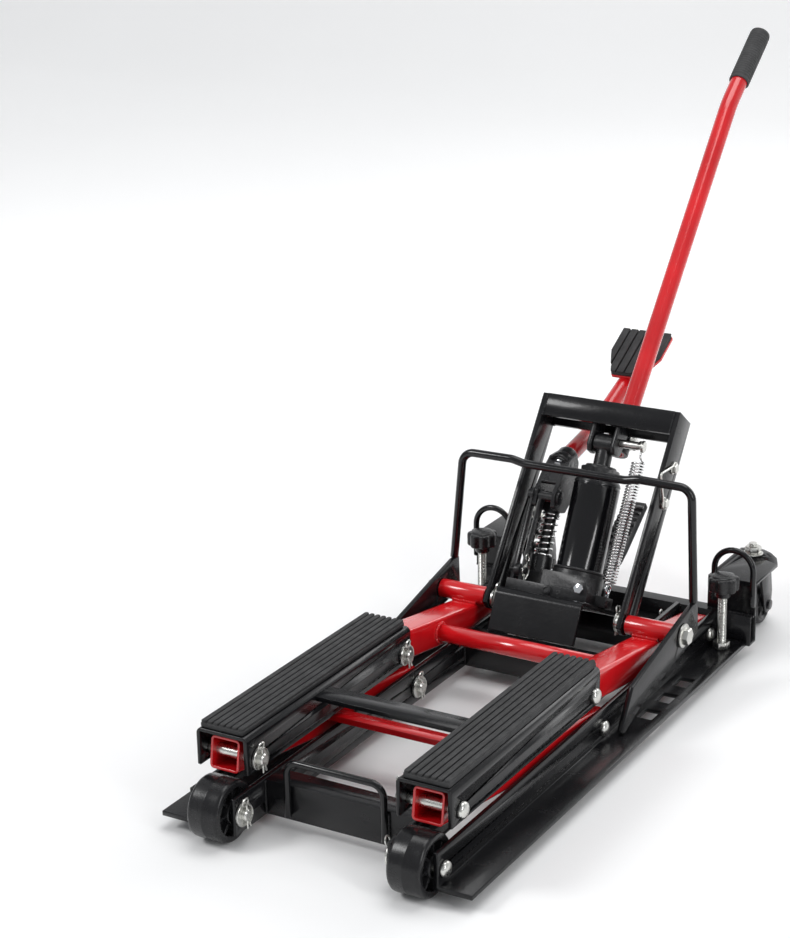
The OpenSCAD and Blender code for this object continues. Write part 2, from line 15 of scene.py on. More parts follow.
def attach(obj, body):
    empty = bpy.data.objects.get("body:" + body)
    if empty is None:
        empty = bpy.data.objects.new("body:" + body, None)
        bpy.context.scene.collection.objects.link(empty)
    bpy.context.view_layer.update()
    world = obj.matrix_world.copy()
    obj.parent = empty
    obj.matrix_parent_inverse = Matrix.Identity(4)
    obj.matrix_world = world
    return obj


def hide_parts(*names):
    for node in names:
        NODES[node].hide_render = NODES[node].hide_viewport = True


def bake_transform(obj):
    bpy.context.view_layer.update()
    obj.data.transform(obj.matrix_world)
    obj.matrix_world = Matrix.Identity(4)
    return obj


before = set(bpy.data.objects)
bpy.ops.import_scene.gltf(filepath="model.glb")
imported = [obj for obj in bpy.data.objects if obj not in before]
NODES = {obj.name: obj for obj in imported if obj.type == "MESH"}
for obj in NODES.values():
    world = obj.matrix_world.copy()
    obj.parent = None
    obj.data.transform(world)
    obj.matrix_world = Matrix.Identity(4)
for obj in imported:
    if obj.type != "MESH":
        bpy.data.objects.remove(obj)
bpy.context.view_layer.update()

MM = 0.001
Y_CENTRE = 229.42


# ---------- geometry helpers: a shape is (points as an N x 3 array, list of faces) ----------
def join(*shapes):
    points, faces, n = [], [], 0
    for p, f in shapes:
        p = np.asarray(p, float)
        points.append(p)
        faces += [tuple(i + n for i in q) for q in f]
        n += len(p)
    return np.vstack(points), faces


def moved(shape, matrix):
    p, f = shape
    m = np.array(matrix, float)
    return np.asarray(p, float) @ m[:3, :3].T + m[:3, 3], f


def shift(shape, x, y, z):
    return np.asarray(shape[0], float) + np.array([x, y, z], float), shape[1]


def mirrored(shape):
    p, f = shape
    return np.asarray(p, float) * np.array([-1, 1, 1]), [tuple(reversed(q)) for q in f]


def both(shape):
    return join(shape, mirrored(shape))


def frame_matrix(y, z, lean):
    """A frame with its origin at (0, y, z), whose z axis leans back by lean degrees."""
    return Matrix.Translation((0, y, z)) @ Matrix.Rotation(math.radians(-lean), 4, "X")


def circle(r, n):
    """n points of a circle about the origin, as (x, y)."""
    return [(r * math.cos(math.tau * i / n), r * math.sin(math.tau * i / n)) for i in range(n)]


def band(a, b, n):
    """The quads between rings a and b, where each ring has n points."""
    return [(a * n + i, a * n + (i + 1) % n, b * n + (i + 1) % n, b * n + i) for i in range(n)]


def stack(levels):
    """A closed solid from (outline, z) pairs; an outline is a list of (x, y) points."""
    n, last = len(levels[0][0]), len(levels) - 1
    points = np.vstack([np.c_[np.array(outline, float), np.full(n, z)] for outline, z in levels])
    faces = [tuple(reversed(range(n))), tuple(range(last * n, (last + 1) * n))]
    for a in range(last):
        faces += band(a, a + 1, n)
    return points, faces


def lathe(profile, n=40, closed=False):
    """Revolves (radius, height) points about Z. Points on the axis become poles."""
    rings, points, faces = [], [], []
    for r, h in profile:
        if r < 1e-6:
            rings.append([len(points)])
            points.append((0, 0, h))
        else:
            rings.append(list(range(len(points), len(points) + n)))
            points += [(x, y, h) for x, y in circle(r, n)]
    pairs = list(zip(rings, rings[1:])) + ([(rings[-1], rings[0])] if closed else [])
    for a, b in pairs:
        if len(a) == 1 and len(b) == 1:
            continue
        for i in range(n):
            j = (i + 1) % n
            if len(a) == 1:
                faces.append((a[0], b[j], b[i]))
            elif len(b) == 1:
                faces.append((a[i], a[j], b[0]))
            else:
                faces.append((a[i], a[j], b[j], b[i]))
    return np.array(points, float), faces


TO_X = Matrix(((0, 0, 1, 0), (1, 0, 0, 0), (0, 1, 0, 0), (0, 0, 0, 1)))


def xlathe(profile, y, z, n=40, closed=False):
    """Revolves (radius, x) points about the line along X through (y, z)."""
    return shift(moved(lathe(profile, n, closed), TO_X), 0, y, z)


def rounded(x0, x1, r, c=0.8):
    """Profile of a plain round bar with rounded ends, as (radius, x)."""
    return [(0, x0), (r - c, x0), (r - 0.3 * c, x0 + 0.3 * c), (r, x0 + c), (r, x1 - c),
            (r - 0.3 * c, x1 - 0.3 * c), (r - c, x1), (0, x1)]


def ring_profile(x0, x1, r_in, r_out, c=0.4):
    return [(r_in, x0), (r_out - c, x0), (r_out, x0 + c), (r_out, x1 - c), (r_out - c, x1), (r_in, x1)]


def dome_profile(x0, x1, r, bore=0.0):
    """Head of a pin: a short rim, then a shallow dome."""
    h = x1 - x0
    points = [(bore, x0), (r - 0.4, x0), (r, x0 + 0.4), (r, x0 + 0.35 * h)]
    for k in range(1, 7):
        t = k / 6 * math.pi / 2
        points.append((r * math.cos(t) if k < 6 else 0.0, x0 + 0.35 * h + 0.65 * h * math.sin(t)))
    return points


def hex_head(flats, z0, z1, washer=0.0):
    """Hexagon with a chamfered top; washer adds a round flange below it."""
    r = flats / 2 / math.cos(math.pi / 6)
    levels = [(r, z0), (r, z1 - 0.12 * (z1 - z0) - 0.5), (r * 0.93, z1), (r * 0.7, z1)]
    shape = lathe([(0, z0)] + levels + [(0, z1)], 6)
    if washer:
        shape = join(shape, lathe(ring_profile(z0 - 1.6, z0, 0.01, washer), 32, True))
    return shape


def hexagon(r, cut, n):
    """n points round a hexagon whose corners, r out, are rounded off at cut, as (x, y)."""
    out = []
    for i in range(n):
        t = math.tau * i / n
        s = (t + math.pi / 6) % (math.pi / 3) - math.pi / 6
        reach = min(r * math.cos(math.pi / 6) / math.cos(s), cut)
        out.append((reach * math.cos(t), reach * math.sin(t)))
    return out


def hex_nut(flats, bore, z0, z1, n=24):
    """A hexagon nut with a round bore, its corners rounded off at both faces."""
    r = flats / 2 / math.cos(math.pi / 6)
    face, middle, hole = hexagon(r * 0.94, r * 0.94 * 0.955, n), hexagon(r, r, n), circle(bore, n)
    rings = ((face, z0), (middle, z0 + 0.8), (middle, z1 - 0.8), (face, z1), (hole, z1), (hole, z0))
    points = [(x, y, z) for ring, z in rings for x, y in ring]
    faces = [quad for a in range(6) for quad in band(a, (a + 1) % 6, n)]
    return np.array(points, float), faces


def hexagon_ring(flats, z0, z1, n=48):
    """A low hexagon with its corners rounded off, most at its two faces."""
    r = flats / 2 / math.cos(math.pi / 6)
    cut = r * 0.955
    return stack([(hexagon(r, cut, n), z0), (hexagon(r, r * 0.985, n), z1 - 1.2),
                  (hexagon(r * 0.97, cut * 0.97, n), z1)])


def x_hex(flats, x0, x1, y, z):
    """A hexagon head on the line along X through (y, z)."""
    return shift(moved(hex_head(flats, x0, x1), TO_X), 0, y, z)


def fillet(points, radius, steps=6):
    """A polyline with each inner corner turned into an arc."""
    points = [Vector(p) for p in points]
    radii = radius if isinstance(radius, (list, tuple)) else [radius] * (len(points) - 2)
    out = [points[0]]
    for a, b, c, r in zip(points, points[1:], points[2:], radii):
        u, v = (a - b).normalized(), (c - b).normalized()
        angle = u.angle(v)
        if r <= 0 or abs(math.pi - angle) < 1e-3:
            out.append(b)
            continue
        d = min(r / math.tan(angle / 2), (a - b).length * 0.49, (c - b).length * 0.49)
        r = d * math.tan(angle / 2)
        centre = b + (u + v).normalized() * (r / math.sin(angle / 2))
        p, q = b + u * d - centre, b + v * d - centre
        turn = p.angle(q)
        for k in range(steps + 1):
            t = k / steps
            w = (p * math.sin((1 - t) * turn) + q * math.sin(t * turn)) / math.sin(turn)
            out.append(centre + w)
    out.append(points[-1])
    return out


def sweep(path, radius, n=12, closed=False, caps=True, outline=None):
    """A tube along path. radius is a number or a list; outline is a list of (u, v) in place of a circle."""
    path = np.array([tuple(p) for p in path], float)
    m = len(path)
    if closed:
        tangents = np.roll(path, -1, 0) - np.roll(path, 1, 0)
    else:
        tangents = np.gradient(path, axis=0)
        steps = np.diff(path, axis=0)
        steps /= np.maximum(np.linalg.norm(steps, axis=1), 1e-9)[:, None]
        tangents[1:-1] = steps[:-1] + steps[1:]
        tangents[0], tangents[-1] = steps[0], steps[-1]
    tangents /= np.maximum(np.linalg.norm(tangents, axis=1), 1e-9)[:, None]
    side = np.cross(tangents[0], (0, 0, 1))
    if np.linalg.norm(side) < 1e-3:
        side = np.array([1.0, 0, 0])
    side /= np.linalg.norm(side)
    section = outline or circle(1, n)
    n = len(section)
    points = []
    for k in range(m):
        side = side - tangents[k] * (side @ tangents[k])
        side /= np.linalg.norm(side)
        up = np.cross(side, tangents[k])
        r = radius[k] if isinstance(radius, (list, tuple, np.ndarray)) else radius
        for u, v in section:
            points.append(path[k] + (side * u + up * v) * (1 if outline else r))
    faces = []
    for k in range(m if closed else m - 1):
        faces += band(k, (k + 1) % m, n)
    if caps and not closed:
        faces.append(tuple(reversed(range(n))))
        faces.append(tuple(range((m - 1) * n, m * n)))
    return np.array(points, float), faces


def pipe(path, r_out, r_in, n=28):
    """An open-ended round pipe."""
    outer = sweep(path, r_out, n, caps=False)
    inner = sweep(path, r_in, n, caps=False)
    k = len(outer[0])
    points, faces = join(outer, (inner[0], [tuple(reversed(f)) for f in inner[1]]))
    last = k - n
    for i in range(n):
        j = (i + 1) % n
        faces.append((i, i + k, j + k, j))
        faces.append((last + i, last + j, last + j + k, last + i + k))
    return points, faces


def rod(points, diameter, bend, n=16):
    """A bent rod with slightly rounded ends."""
    path = fillet(points, bend, 8)
    first = (path[0] - path[1]).normalized()
    last = (path[-1] - path[-2]).normalized()
    path = [path[0]] + [path[0] - first * 0.6] + path[1:-1] + [path[-1] - last * 0.6] + [path[-1]]
    r = diameter / 2
    radii = [r - 0.5] + [r] * (len(path) - 2) + [r - 0.5]
    return sweep(path, radii, n)


def prism(outline, x0, x1):
    """A plate in the YZ plane between x0 and x1, from (y, z) points."""
    points, faces = stack([(outline, x0), (outline, x1)])
    return points[:, [2, 0, 1]], faces


def slab(outline, z0, z1, c=0.0):
    """A plate between two heights from (x, y) points, with its rims taken in by c."""
    pts = np.array(outline, float)
    centre = pts.mean(0)
    half = np.abs(pts - centre).max(0)
    inset = centre + (pts - centre) * (1 - c / half)
    if c == 0:
        return stack([(pts, z0), (pts, z1)])
    return stack([(inset, z0), (pts, z0 + c), (pts, z1 - c), (inset, z1)])


def box(x0, x1, y0, y1, z0, z1):
    return slab([(x0, y0), (x1, y0), (x1, y1), (x0, y1)], z0, z1)


def stadium(x0, x1, y0, y1, n=8):
    """A long bar with round ends, as (x, y) points."""
    r = (x1 - x0) / 2
    cx = (x0 + x1) / 2
    turns = [math.pi * i / n for i in range(n + 1)]
    near = [(cx + r * math.cos(math.pi + t), y0 + r + r * math.sin(math.pi + t)) for t in turns]
    return near + [(cx + r * math.cos(t), y1 - r + r * math.sin(t)) for t in turns]


def round_rect(w, h, r, n=5):
    """A rectangle about the origin with corners of radius r, as (x, y) points."""
    a, b = w / 2 - r, h / 2 - r
    out = []
    for cx, cy, start in ((a, b, 0), (-a, b, 90), (-a, -b, 180), (a, -b, 270)):
        for i in range(n + 1):
            t = math.radians(start + 90 * i / n)
            out.append((cx + r * math.cos(t), cy + r * math.sin(t)))
    return out


def rib(x0, x1, y0, y1, z0, z1):
    """A rubber rib: a stadium in plan with a rounded top."""
    levels = [(0, z0), (0, z1 - 0.9), (0.25, z1 - 0.4), (0.8, z1 - 0.08), (1.5, z1)]
    return stack([(stadium(x0 + c, x1 - c, y0 + c, y1 - c), z) for c, z in levels])


def bead(path, r, closed=False, pitch=2.2):
    """A weld bead: a thin sweep whose thickness ripples along it."""
    pts = np.array([tuple(p) for p in path], float)
    if closed:
        pts = np.vstack([pts, pts[:1]])
    length = np.r_[0, np.cumsum(np.linalg.norm(np.diff(pts, axis=0), axis=1))]
    count = max(8, int(length[-1] / pitch * 3))
    s = np.linspace(0, length[-1], count + 1)
    if closed:
        s = s[:-1]
    line = np.array([[np.interp(v, length, pts[:, k]) for k in range(3)] for v in s])
    radii = [r * (0.92 + 0.14 * math.sin(2 * math.pi * v / pitch) + 0.06 * math.sin(v * 1.7)) for v in s]
    return sweep(line, radii, 8, closed)


def circle_path(x, y, z, r, n=28):
    """A circle about an axis along X."""
    return [(x, y + u, z + v) for u, v in circle(r, n)]


def helix(radius, z0, z1, turns, per_turn=16):
    """A coil about Z from z0 to z1."""
    count = int(turns * per_turn)
    turned = [math.tau * k / per_turn for k in range(count + 1)]
    return [(radius * math.cos(t), radius * math.sin(t), z0 + (z1 - z0) * k / count)
            for k, t in enumerate(turned)]


def thread(r_out, depth, pitch, z0, z1, seg=24):
    """A screw thread about Z, closed by its core at both ends."""
    pattern = (r_out - depth, r_out - 0.25 * depth, r_out, r_out - 0.25 * depth)
    rows = int(math.ceil((z1 - z0) / pitch) + 1) * 4
    index, points = {}, []
    for i in range(rows + 5):
        for j in range(seg):
            index[i, j] = len(points)
            z = z0 + ((i - 4) / 4 + j / seg) * pitch
            r = pattern[i % 4] if z0 < z < z1 else r_out - depth
            t = 2 * math.pi * j / seg
            points.append((r * math.cos(t), r * math.sin(t), min(max(z, z0), z1)))
    faces = []
    for i in range(rows):
        for j in range(seg):
            a, b = index[i, j], index[i + 1, j]
            if j + 1 < seg:
                c, d = index[i + 1, j + 1], index[i, j + 1]
            else:
                c, d = index[i + 5, 0], index[i + 4, 0]
            faces.append((a, d, c, b))
    core = lathe([(0, z0), (r_out - depth, z0), (r_out - depth, z1), (0, z1)], seg)
    return join((np.array(points, float), faces), core)


# ---------- pieces ----------
def piece(name, shape, material, body, slot, replaces=(), bevel=0.0, sharp=40, ride=True):
    """Makes an object from a shape in millimetres, with a real material, and hangs it on a body."""
    points, faces = shape
    points = np.asarray(points, float) * MM
    points[:, 1] -= Y_CENTRE * MM
    mesh = bpy.data.meshes.new(name)
    mesh.from_pydata([tuple(p) for p in points], [], [tuple(f) for f in faces])
    bm = bmesh.new()
    bm.from_mesh(mesh)
    bmesh.ops.remove_doubles(bm, verts=bm.verts, dist=2e-6)
    bmesh.ops.dissolve_degenerate(bm, edges=bm.edges, dist=1e-6)
    bmesh.ops.recalc_face_normals(bm, faces=bm.faces)
    bm.to_mesh(mesh)
    bm.free()
    obj = bpy.data.objects.new(name, mesh)
    bpy.context.scene.collection.objects.link(obj)
    dress(obj, material, sharp)
    if bevel:
        soften(obj, bevel)
    if replaces:
        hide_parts(replaces)
    if ride:
        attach(obj, body)
    return obj


def piece_pair(name, shape, material, bodies, slot, node=None, **looks):
    """A right-hand piece and its mirror image, on the bodies (right, left)."""
    for side, body, one in zip(("right", "left"), bodies, (shape, mirrored(shape))):
        piece(f"{name}_{side}", one, material, body, slot, f"{node}_{side}" if node else (), **looks)


def dress(obj, material, sharp):
    """Gives an object one material, and smooth shading except at edges over sharp degrees."""
    mesh = obj.data
    mesh.materials.clear()
    mesh.materials.append(material)
    mesh.polygons.foreach_set("use_smooth", [True] * len(mesh.polygons))
    mesh.set_sharp_from_angle(angle=math.radians(sharp))


def soften(obj, width):
    """Rounds an object's edges by width millimetres."""
    bevel = obj.modifiers.new("edges", "BEVEL")
    bevel.width = width * MM
    bevel.segments = 2
    bevel.limit_method = "ANGLE"
    bevel.angle_limit = math.radians(38)
    bevel.use_clamp_overlap = True


def keep(node, material, bevel=0.6):
    """Keeps a CAD node: welds its tessellation, softens its edges and gives it a real material."""
    obj = NODES[node]
    dress(obj, material, 40)
    weld = obj.modifiers.new("weld", "WELD")
    weld.merge_threshold = 2e-6
    if bevel:
        soften(obj, bevel)
    if obj.data.has_custom_normals:
        bpy.context.view_layer.objects.active = obj
        obj.select_set(True)
        bpy.ops.mesh.customdata_custom_splitnormals_clear()
        obj.select_set(False)


# ---------- materials ----------
def shade(base, factor, lift=0.0):
    """A colour made lighter or darker."""
    return tuple(c * factor + lift for c in base)


class Nodes:
    """A new node material, its Principled shader, and short ways to add nodes to it."""

    def __init__(self, name):
        self.material = bpy.data.materials.new(name)
        self.material.use_nodes = True
        self.tree = self.material.node_tree
        self.shader = self.tree.nodes["Principled BSDF"]
        self.where = self.tree.nodes.new("ShaderNodeTexCoord").outputs["Object"]

    def new(self, kind, **values):
        node = self.tree.nodes.new(kind)
        for key, value in values.items():
            if key in node.inputs:
                node.inputs[key].default_value = value
            else:
                setattr(node, key, value)
        return node

    def link(self, a, b):
        self.tree.links.new(a, b)

    def put(self, socket, value):
        """Sets a socket of the shader to a constant, or links a node's output to it."""
        if isinstance(value, bpy.types.NodeSocket):
            self.link(value, self.shader.inputs[socket])
        else:
            self.shader.inputs[socket].default_value = value

    def noise(self, scale, detail=3.0, rough=0.55):
        node = self.new("ShaderNodeTexNoise", Scale=scale, Detail=detail, Roughness=rough)
        self.link(self.where, node.inputs["Vector"])
        return node.outputs["Fac"]

    def remap(self, value, a, b, c, d):
        node = self.new("ShaderNodeMapRange")
        for key, number in zip(("From Min", "From Max", "To Min", "To Max"), (a, b, c, d)):
            node.inputs[key].default_value = number
        self.link(value, node.inputs["Value"])
        return node.outputs["Result"]

    def math(self, operation, a, b):
        node = self.new("ShaderNodeMath", operation=operation)
        for socket, value in zip(node.inputs, (a, b)):
            if isinstance(value, (int, float)):
                socket.default_value = value
            else:
                self.link(value, socket)
        return node.outputs[0]

    def mix(self, factor, a, b):
        node = self.new("ShaderNodeMix", data_type="RGBA")
        self.link(factor, node.inputs["Factor"])
        for socket, value in ((node.inputs[6], a), (node.inputs[7], b)):
            if isinstance(value, tuple):
                socket.default_value = (*value, 1)
            else:
                self.link(value, socket)
        return node.outputs[2]

    def rubbed(self, radius, cloud, low, high, amount):
        """Wear along edges up to radius metres wide, broken up by a cloud of noise."""
        bevel = self.new("ShaderNodeBevel", samples=4)
        bevel.inputs["Radius"].default_value = radius
        geometry = self.new("ShaderNodeNewGeometry")
        dot = self.new("ShaderNodeVectorMath", operation="DOT_PRODUCT")
        self.link(bevel.outputs["Normal"], dot.inputs[0])
        self.link(geometry.outputs["Normal"], dot.inputs[1])
        edge = self.remap(dot.outputs["Value"], 0.995, 0.85, 0.0, 1.0)
        return self.math("MULTIPLY", edge, self.remap(cloud, low, high, 0.0, amount))

    def bump(self, *layers):
        """layers are (height socket, depth in metres), from the coarsest."""
        normal = None
        for height, depth in layers:
            node = self.new("ShaderNodeBump", Distance=depth, Strength=1.0)
            self.link(height, node.inputs["Height"])
            if normal is not None:
                self.link(normal, node.inputs["Normal"])
            normal = node.outputs["Normal"]
        self.put("Normal", normal)


def paint(name, base, rough=0.24, coat=0.6, gloss=0.5, peel=0.00006, wear=(0.09, 0.09, 0.095),
          amount=0.5, dust=0.010):
    """Gloss paint over steel: soft colour drift, orange peel, a little dust and rubbed edges."""
    m = Nodes(name)
    colour = m.mix(m.remap(m.noise(14, 4), 0.3, 0.7, 0, 1), shade(base, 0.82), shade(base, 1.12, dust))
    rub = m.rubbed(0.0011, m.noise(160, 3), 0.42, 0.66, amount)
    m.put("Base Color", m.mix(rub, colour, wear))
    patchy = m.remap(m.noise(38, 5, 0.65), 0.3, 0.75, rough - 0.04, rough + 0.06)
    m.put("Roughness", m.math("ADD", patchy, m.math("MULTIPLY", rub, 0.2)))
    m.put("Coat Weight", coat)
    m.put("Coat Roughness", 0.08)
    m.put("Specular IOR Level", gloss)
    m.bump((m.noise(260, 2, 0.4), peel * 1.6), (m.noise(900, 2, 0.5), peel))
    return m.material


def metal(name, base, rough, depth=0.00002, tint=(0.42, 0.40, 0.36), mottled=0.35):
    """Plated steel: mottled tone and a fine grain."""
    m = Nodes(name)
    cloud = m.noise(55, 5, 0.65)
    grain = m.noise(900, 2, 0.5)
    m.put("Base Color", m.mix(m.remap(cloud, 0.42, 0.75, 0, mottled), base, tint))
    m.put("Metallic", 1.0)
    patchy = m.remap(cloud, 0.3, 0.75, rough * 0.75, rough * 1.35)
    m.put("Roughness", m.math("ADD", patchy, m.remap(grain, 0.3, 0.7, -0.03, 0.05)))
    m.bump((grain, depth))
    return m.material


def cast(name, rough=0.36, depth=0.0005, scale=210):
    """Painted rough casting."""
    m = Nodes(name)
    base = (0.009, 0.009, 0.010)
    coarse = m.noise(scale, 4, 0.6)
    fine = m.noise(scale * 4, 3, 0.6)
    colour = m.mix(m.remap(coarse, 0.35, 0.7, 0, 1), shade(base, 0.7), shade(base, 1.8))
    rub = m.rubbed(0.0012, fine, 0.45, 0.62, 0.6)
    m.put("Base Color", m.mix(rub, colour, (0.10, 0.10, 0.10)))
    m.put("Roughness", m.remap(m.noise(60, 4), 0.3, 0.7, rough - 0.1, rough + 0.12))
    m.put("Specular IOR Level", 0.35)
    m.put("Coat Weight", 0.15)
    m.put("Coat Roughness", 0.2)
    m.bump((coarse, depth), (fine, depth * 0.25))
    return m.material


def rubber(name, base, rough=0.62, scale=1500, depth=0.00007):
    """Black rubber: cloudy tone, fine grain and greyed edges."""
    m = Nodes(name)
    colour = m.mix(m.remap(m.noise(30, 5, 0.6), 0.3, 0.75, 0, 1), shade(base, 0.75), shade(base, 1.5))
    rub = m.rubbed(0.0009, m.noise(240, 3), 0.4, 0.7, 0.8)
    m.put("Base Color", m.mix(rub, colour, (0.075, 0.075, 0.075)))
    m.put("Roughness", m.remap(m.noise(90, 4), 0.3, 0.7, rough - 0.1, rough + 0.12))
    m.put("Specular IOR Level", 0.4)
    m.bump((m.noise(180, 3), depth * 1.5), (m.noise(scale, 3, 0.6), depth))
    return m.material


def plastic(name, base, rough=0.2, depth=0.00003):
    """Moulded black plastic with scuffed edges."""
    m = Nodes(name)
    colour = m.mix(m.remap(m.noise(25, 4, 0.6), 0.3, 0.75, 0, 1), shade(base, 0.8), shade(base, 1.4, 0.002))
    rub = m.rubbed(0.0010, m.noise(300, 3), 0.45, 0.7, 0.5)
    m.put("Base Color", m.mix(rub, colour, (0.06, 0.06, 0.06)))
    m.put("Roughness", m.remap(m.noise(70, 5, 0.7), 0.3, 0.75, rough - 0.06, rough + 0.14))
    m.put("Specular IOR Level", 0.35)
    m.bump((m.noise(400, 3), depth * 2), (m.noise(1600, 2), depth))
    return m.material


BLACK = paint("gloss_black_frame", (0.0055, 0.0055, 0.0065), rough=0.24, coat=0.14, gloss=0.26,
              wear=(0.05, 0.05, 0.055), amount=0.4, dust=0.002)
ROD = paint("gloss_black_rod", (0.005, 0.005, 0.006), rough=0.18, coat=0.25, gloss=0.3, dust=0.0015)
TANK = paint("gloss_black_reservoir", (0.004, 0.004, 0.005), rough=0.13, coat=0.35, gloss=0.3,
             peel=0.00003, dust=0.001)
RED = paint("gloss_red_tube", (0.60, 0.007, 0.011), rough=0.2, coat=0.6, gloss=0.45,
            wear=(0.30, 0.02, 0.02), dust=0.0)
CAST = cast("cast_black")
SMOOTH_CAST = cast("smooth_cast_black", rough=0.3, depth=0.00018, scale=300)
ZINC = metal("zinc_plate", (0.66, 0.66, 0.63), 0.27)
CHROME = metal("chrome_plate", (0.83, 0.84, 0.86), 0.10, tint=(0.62, 0.63, 0.65), mottled=0.3, depth=0.000008)
SPRING = metal("spring_plate", (0.74, 0.74, 0.74), 0.2, tint=(0.5, 0.5, 0.5))
PAD = rubber("rib_rubber", (0.020, 0.020, 0.021))
GRIP = rubber("grip_rubber", (0.036, 0.036, 0.037), 0.7, 2200, 0.0001)
WHEEL = plastic("gloss_wheel_plastic", (0.009, 0.009, 0.010), 0.22)
CASTER = plastic("caster_plastic", (0.014, 0.014, 0.015), 0.3)
KNOB = plastic("knob_plastic", (0.011, 0.011, 0.012), 0.24, 0.00006)

# ---------- where things are ----------
JACK = frame_matrix(270, 103, 27.2)
YOKE = frame_matrix(212, 75, 36.5)
TO_FRONT = Matrix.Rotation(math.pi / 2, 4, "X")
FLIP = Matrix.Rotation(math.pi, 4, "X")
STUB = (212, 75)                                # (y, z) of the yoke's pivot
FRONT_AXLE = (-292, 32)                         # (y, z) of the front wheels
SCREW = (154, 323)                              # (x, y) of the right levelling screw
KINGPIN = (142.5, 441.5)                        # (x, y) of the right caster
ARM_LENGTH, ARM_RISE, ARM_X, ARM_SIZE = 313.8, 9.0, 96.3, 33.5
PIVOT_Z, REAR_PIVOT_Y, FRONT_PIVOT_Y = 31.0, 325, 45
RISE = math.radians(ARM_RISE)
SADDLE_PIN_Z = PIVOT_Z + ARM_LENGTH * math.sin(RISE)
SADDLE_PINS = [(y - ARM_LENGTH * math.cos(RISE), SADDLE_PIN_Z) for y in (REAR_PIVOT_Y, FRONT_PIVOT_Y)]
BASE_PINS = (FRONT_AXLE, (FRONT_PIVOT_Y, PIVOT_Z), (REAR_PIVOT_Y, PIVOT_Z))

# ---------- steel that keeps its CAD shape ----------
for node in ("rail_outer_right", "rail_outer_left", "rails_inner", "cross_front", "cross_mid", "cross_jack",
             "lock_plates", "saddle_brace", "caster_fork_right", "caster_fork_left"):
    keep(node, BLACK, 0.7)
for node in ("saddle_right", "saddle_left", "uprights", "crossbar", "cross_rear", "caster_brackets"):
    keep(node, BLACK, 1.0)
keep("front_arm_bar", RED, 0.6)
keep("rear_arm_tube", RED, 0.0)
keep("stubs", RED, 0.8)
keep("jack_base", CAST, 1.6)
for node in ("pump_links", "clevis_plates", "release_pedal", "pump_barrel"):
    keep(node, SMOOTH_CAST)
keep("pump_piston", SMOOTH_CAST, 0.5)
for node in ("ram_rod", "jack_valves"):
    keep(node, CHROME, 0.5)

# ---------- arms: rounded square tubes with open ends ----------
def square_tube(size, wall, r, y0, y1):
    """An open square tube along Y, from x = 0 to size and centred on z = 0."""
    outer = round_rect(size, size, r)
    inner = round_rect(size - 2 * wall, size - 2 * wall, max(r - wall, 1.0))
    ends = ((outer, y0), (outer, y1), (inner, y1), (inner, y0))
    points = [(u + size / 2, y, v) for outline, y in ends for u, v in outline]
    faces = [quad for a in range(4) for quad in band(a, (a + 1) % 4, len(outer))]
    return np.array(points, float), faces


for label, pivot_y, over in (("rear", REAR_PIVOT_Y, 14), ("front", FRONT_PIVOT_Y, 12)):
    tube = shift(square_tube(ARM_SIZE, 2.6, 4.6, -ARM_LENGTH - over, 16), ARM_X, 0, 0)
    tube = moved(tube, frame_matrix(pivot_y, PIVOT_Z, ARM_RISE))
    piece_pair(f"{label}_arm_tube", tube, RED, (f"{label}_arms",) * 2, "arm_red", f"{label}_arm", bevel=0.5)

beads = [bead([(ARM_X + 1.5, y, z), (ARM_X + ARM_SIZE - 1.5, y, z)], 2.0)
         for y, z in ((202.2, 68.6), (220.6, 66.0))]
beads.append(bead(circle_path(ARM_X - 0.6, 117.6, 64.5, 10.6), 2.1, True))
piece("rear_arm_welds", both(join(*beads)), RED, "rear_arms", "arm_red")
bar_weld = join(*[bead([(ARM_X - 0.8, -167, z), (ARM_X - 0.8, -142, z)], 1.6) for z in (6.4, -0.4)])
piece("front_arm_welds", both(moved(bar_weld, frame_matrix(FRONT_PIVOT_Y, PIVOT_Z, ARM_RISE))),
      RED, "front_arms", "arm_red")

# ---------- ribbed pads ----------
PAD_X, PAD_Y, PAD_W, PAD_L, PAD_Z, PAD_H, PAD_RIBS = 88.4, -281.0, 49.6, 308.5, 107.4, 7.6, 7


def pad():
    """A rubber pad: a thin slab with lengthwise ribs."""
    pitch = PAD_W / PAD_RIBS
    outline = [(u + PAD_W / 2, v + PAD_L / 2) for u, v in round_rect(PAD_W, PAD_L, 3)]
    parts = [shift(slab(outline, 0, PAD_H - 2.6, 0.9), PAD_X, PAD_Y, PAD_Z)]
    for i in range(PAD_RIBS):
        parts.append(rib(PAD_X + i * pitch + 0.75, PAD_X + (i + 1) * pitch - 0.75,
                         PAD_Y + 0.4, PAD_Y + PAD_L - 0.4, PAD_Z + PAD_H - 3.2, PAD_Z + PAD_H))
    return join(*parts)


piece_pair("pad_ribbed", pad(), PAD, ("saddles",) * 2, "pad_rubber", "pad", sharp=50)

# ---------- pins, washers and spring clips ----------
def pin(x0, x1, x2, head_r, y, z):
    """A pin from x0 to x1 with a domed head up to x2."""
    shaft = xlathe([(0, x0), (4.8, x0), (6, x0 + 1.4), (6, x1 + 0.5), (0, x1 + 0.5)], y, z, 32)
    return join(shaft, xlathe(dome_profile(x1, x2, head_r), y, z, 40))


def hairpin(x, y, z, flip=1):
    """A hairpin clip of 2 mm wire in a YZ plane, with its straight leg through the pin."""
    ring = [(-1.6 + 3.6 * math.sin(t), 12.6 - 3.6 * math.cos(t)) for t in np.linspace(0.4, 5.6, 14)]
    wavy = [(2.4, 9.4), (5.2, 6.8), (7.3, 2.4), (7.4, -2.0), (5.4, -5.8), (3.0, -8.2), (4.4, -11.8)]
    path = []
    for i, (v, w) in enumerate([(0, -12.5), (0, -4), (0, 5)] + ring + wavy):
        sway = 0.9 * math.sin(i * 0.5) if 3 < i < 17 else 0
        path.append((x + sway, y + 1.2 * flip * v, z + 1.15 * w))
    return sweep(fillet(path, 1.2, 2), 1.0, 8)


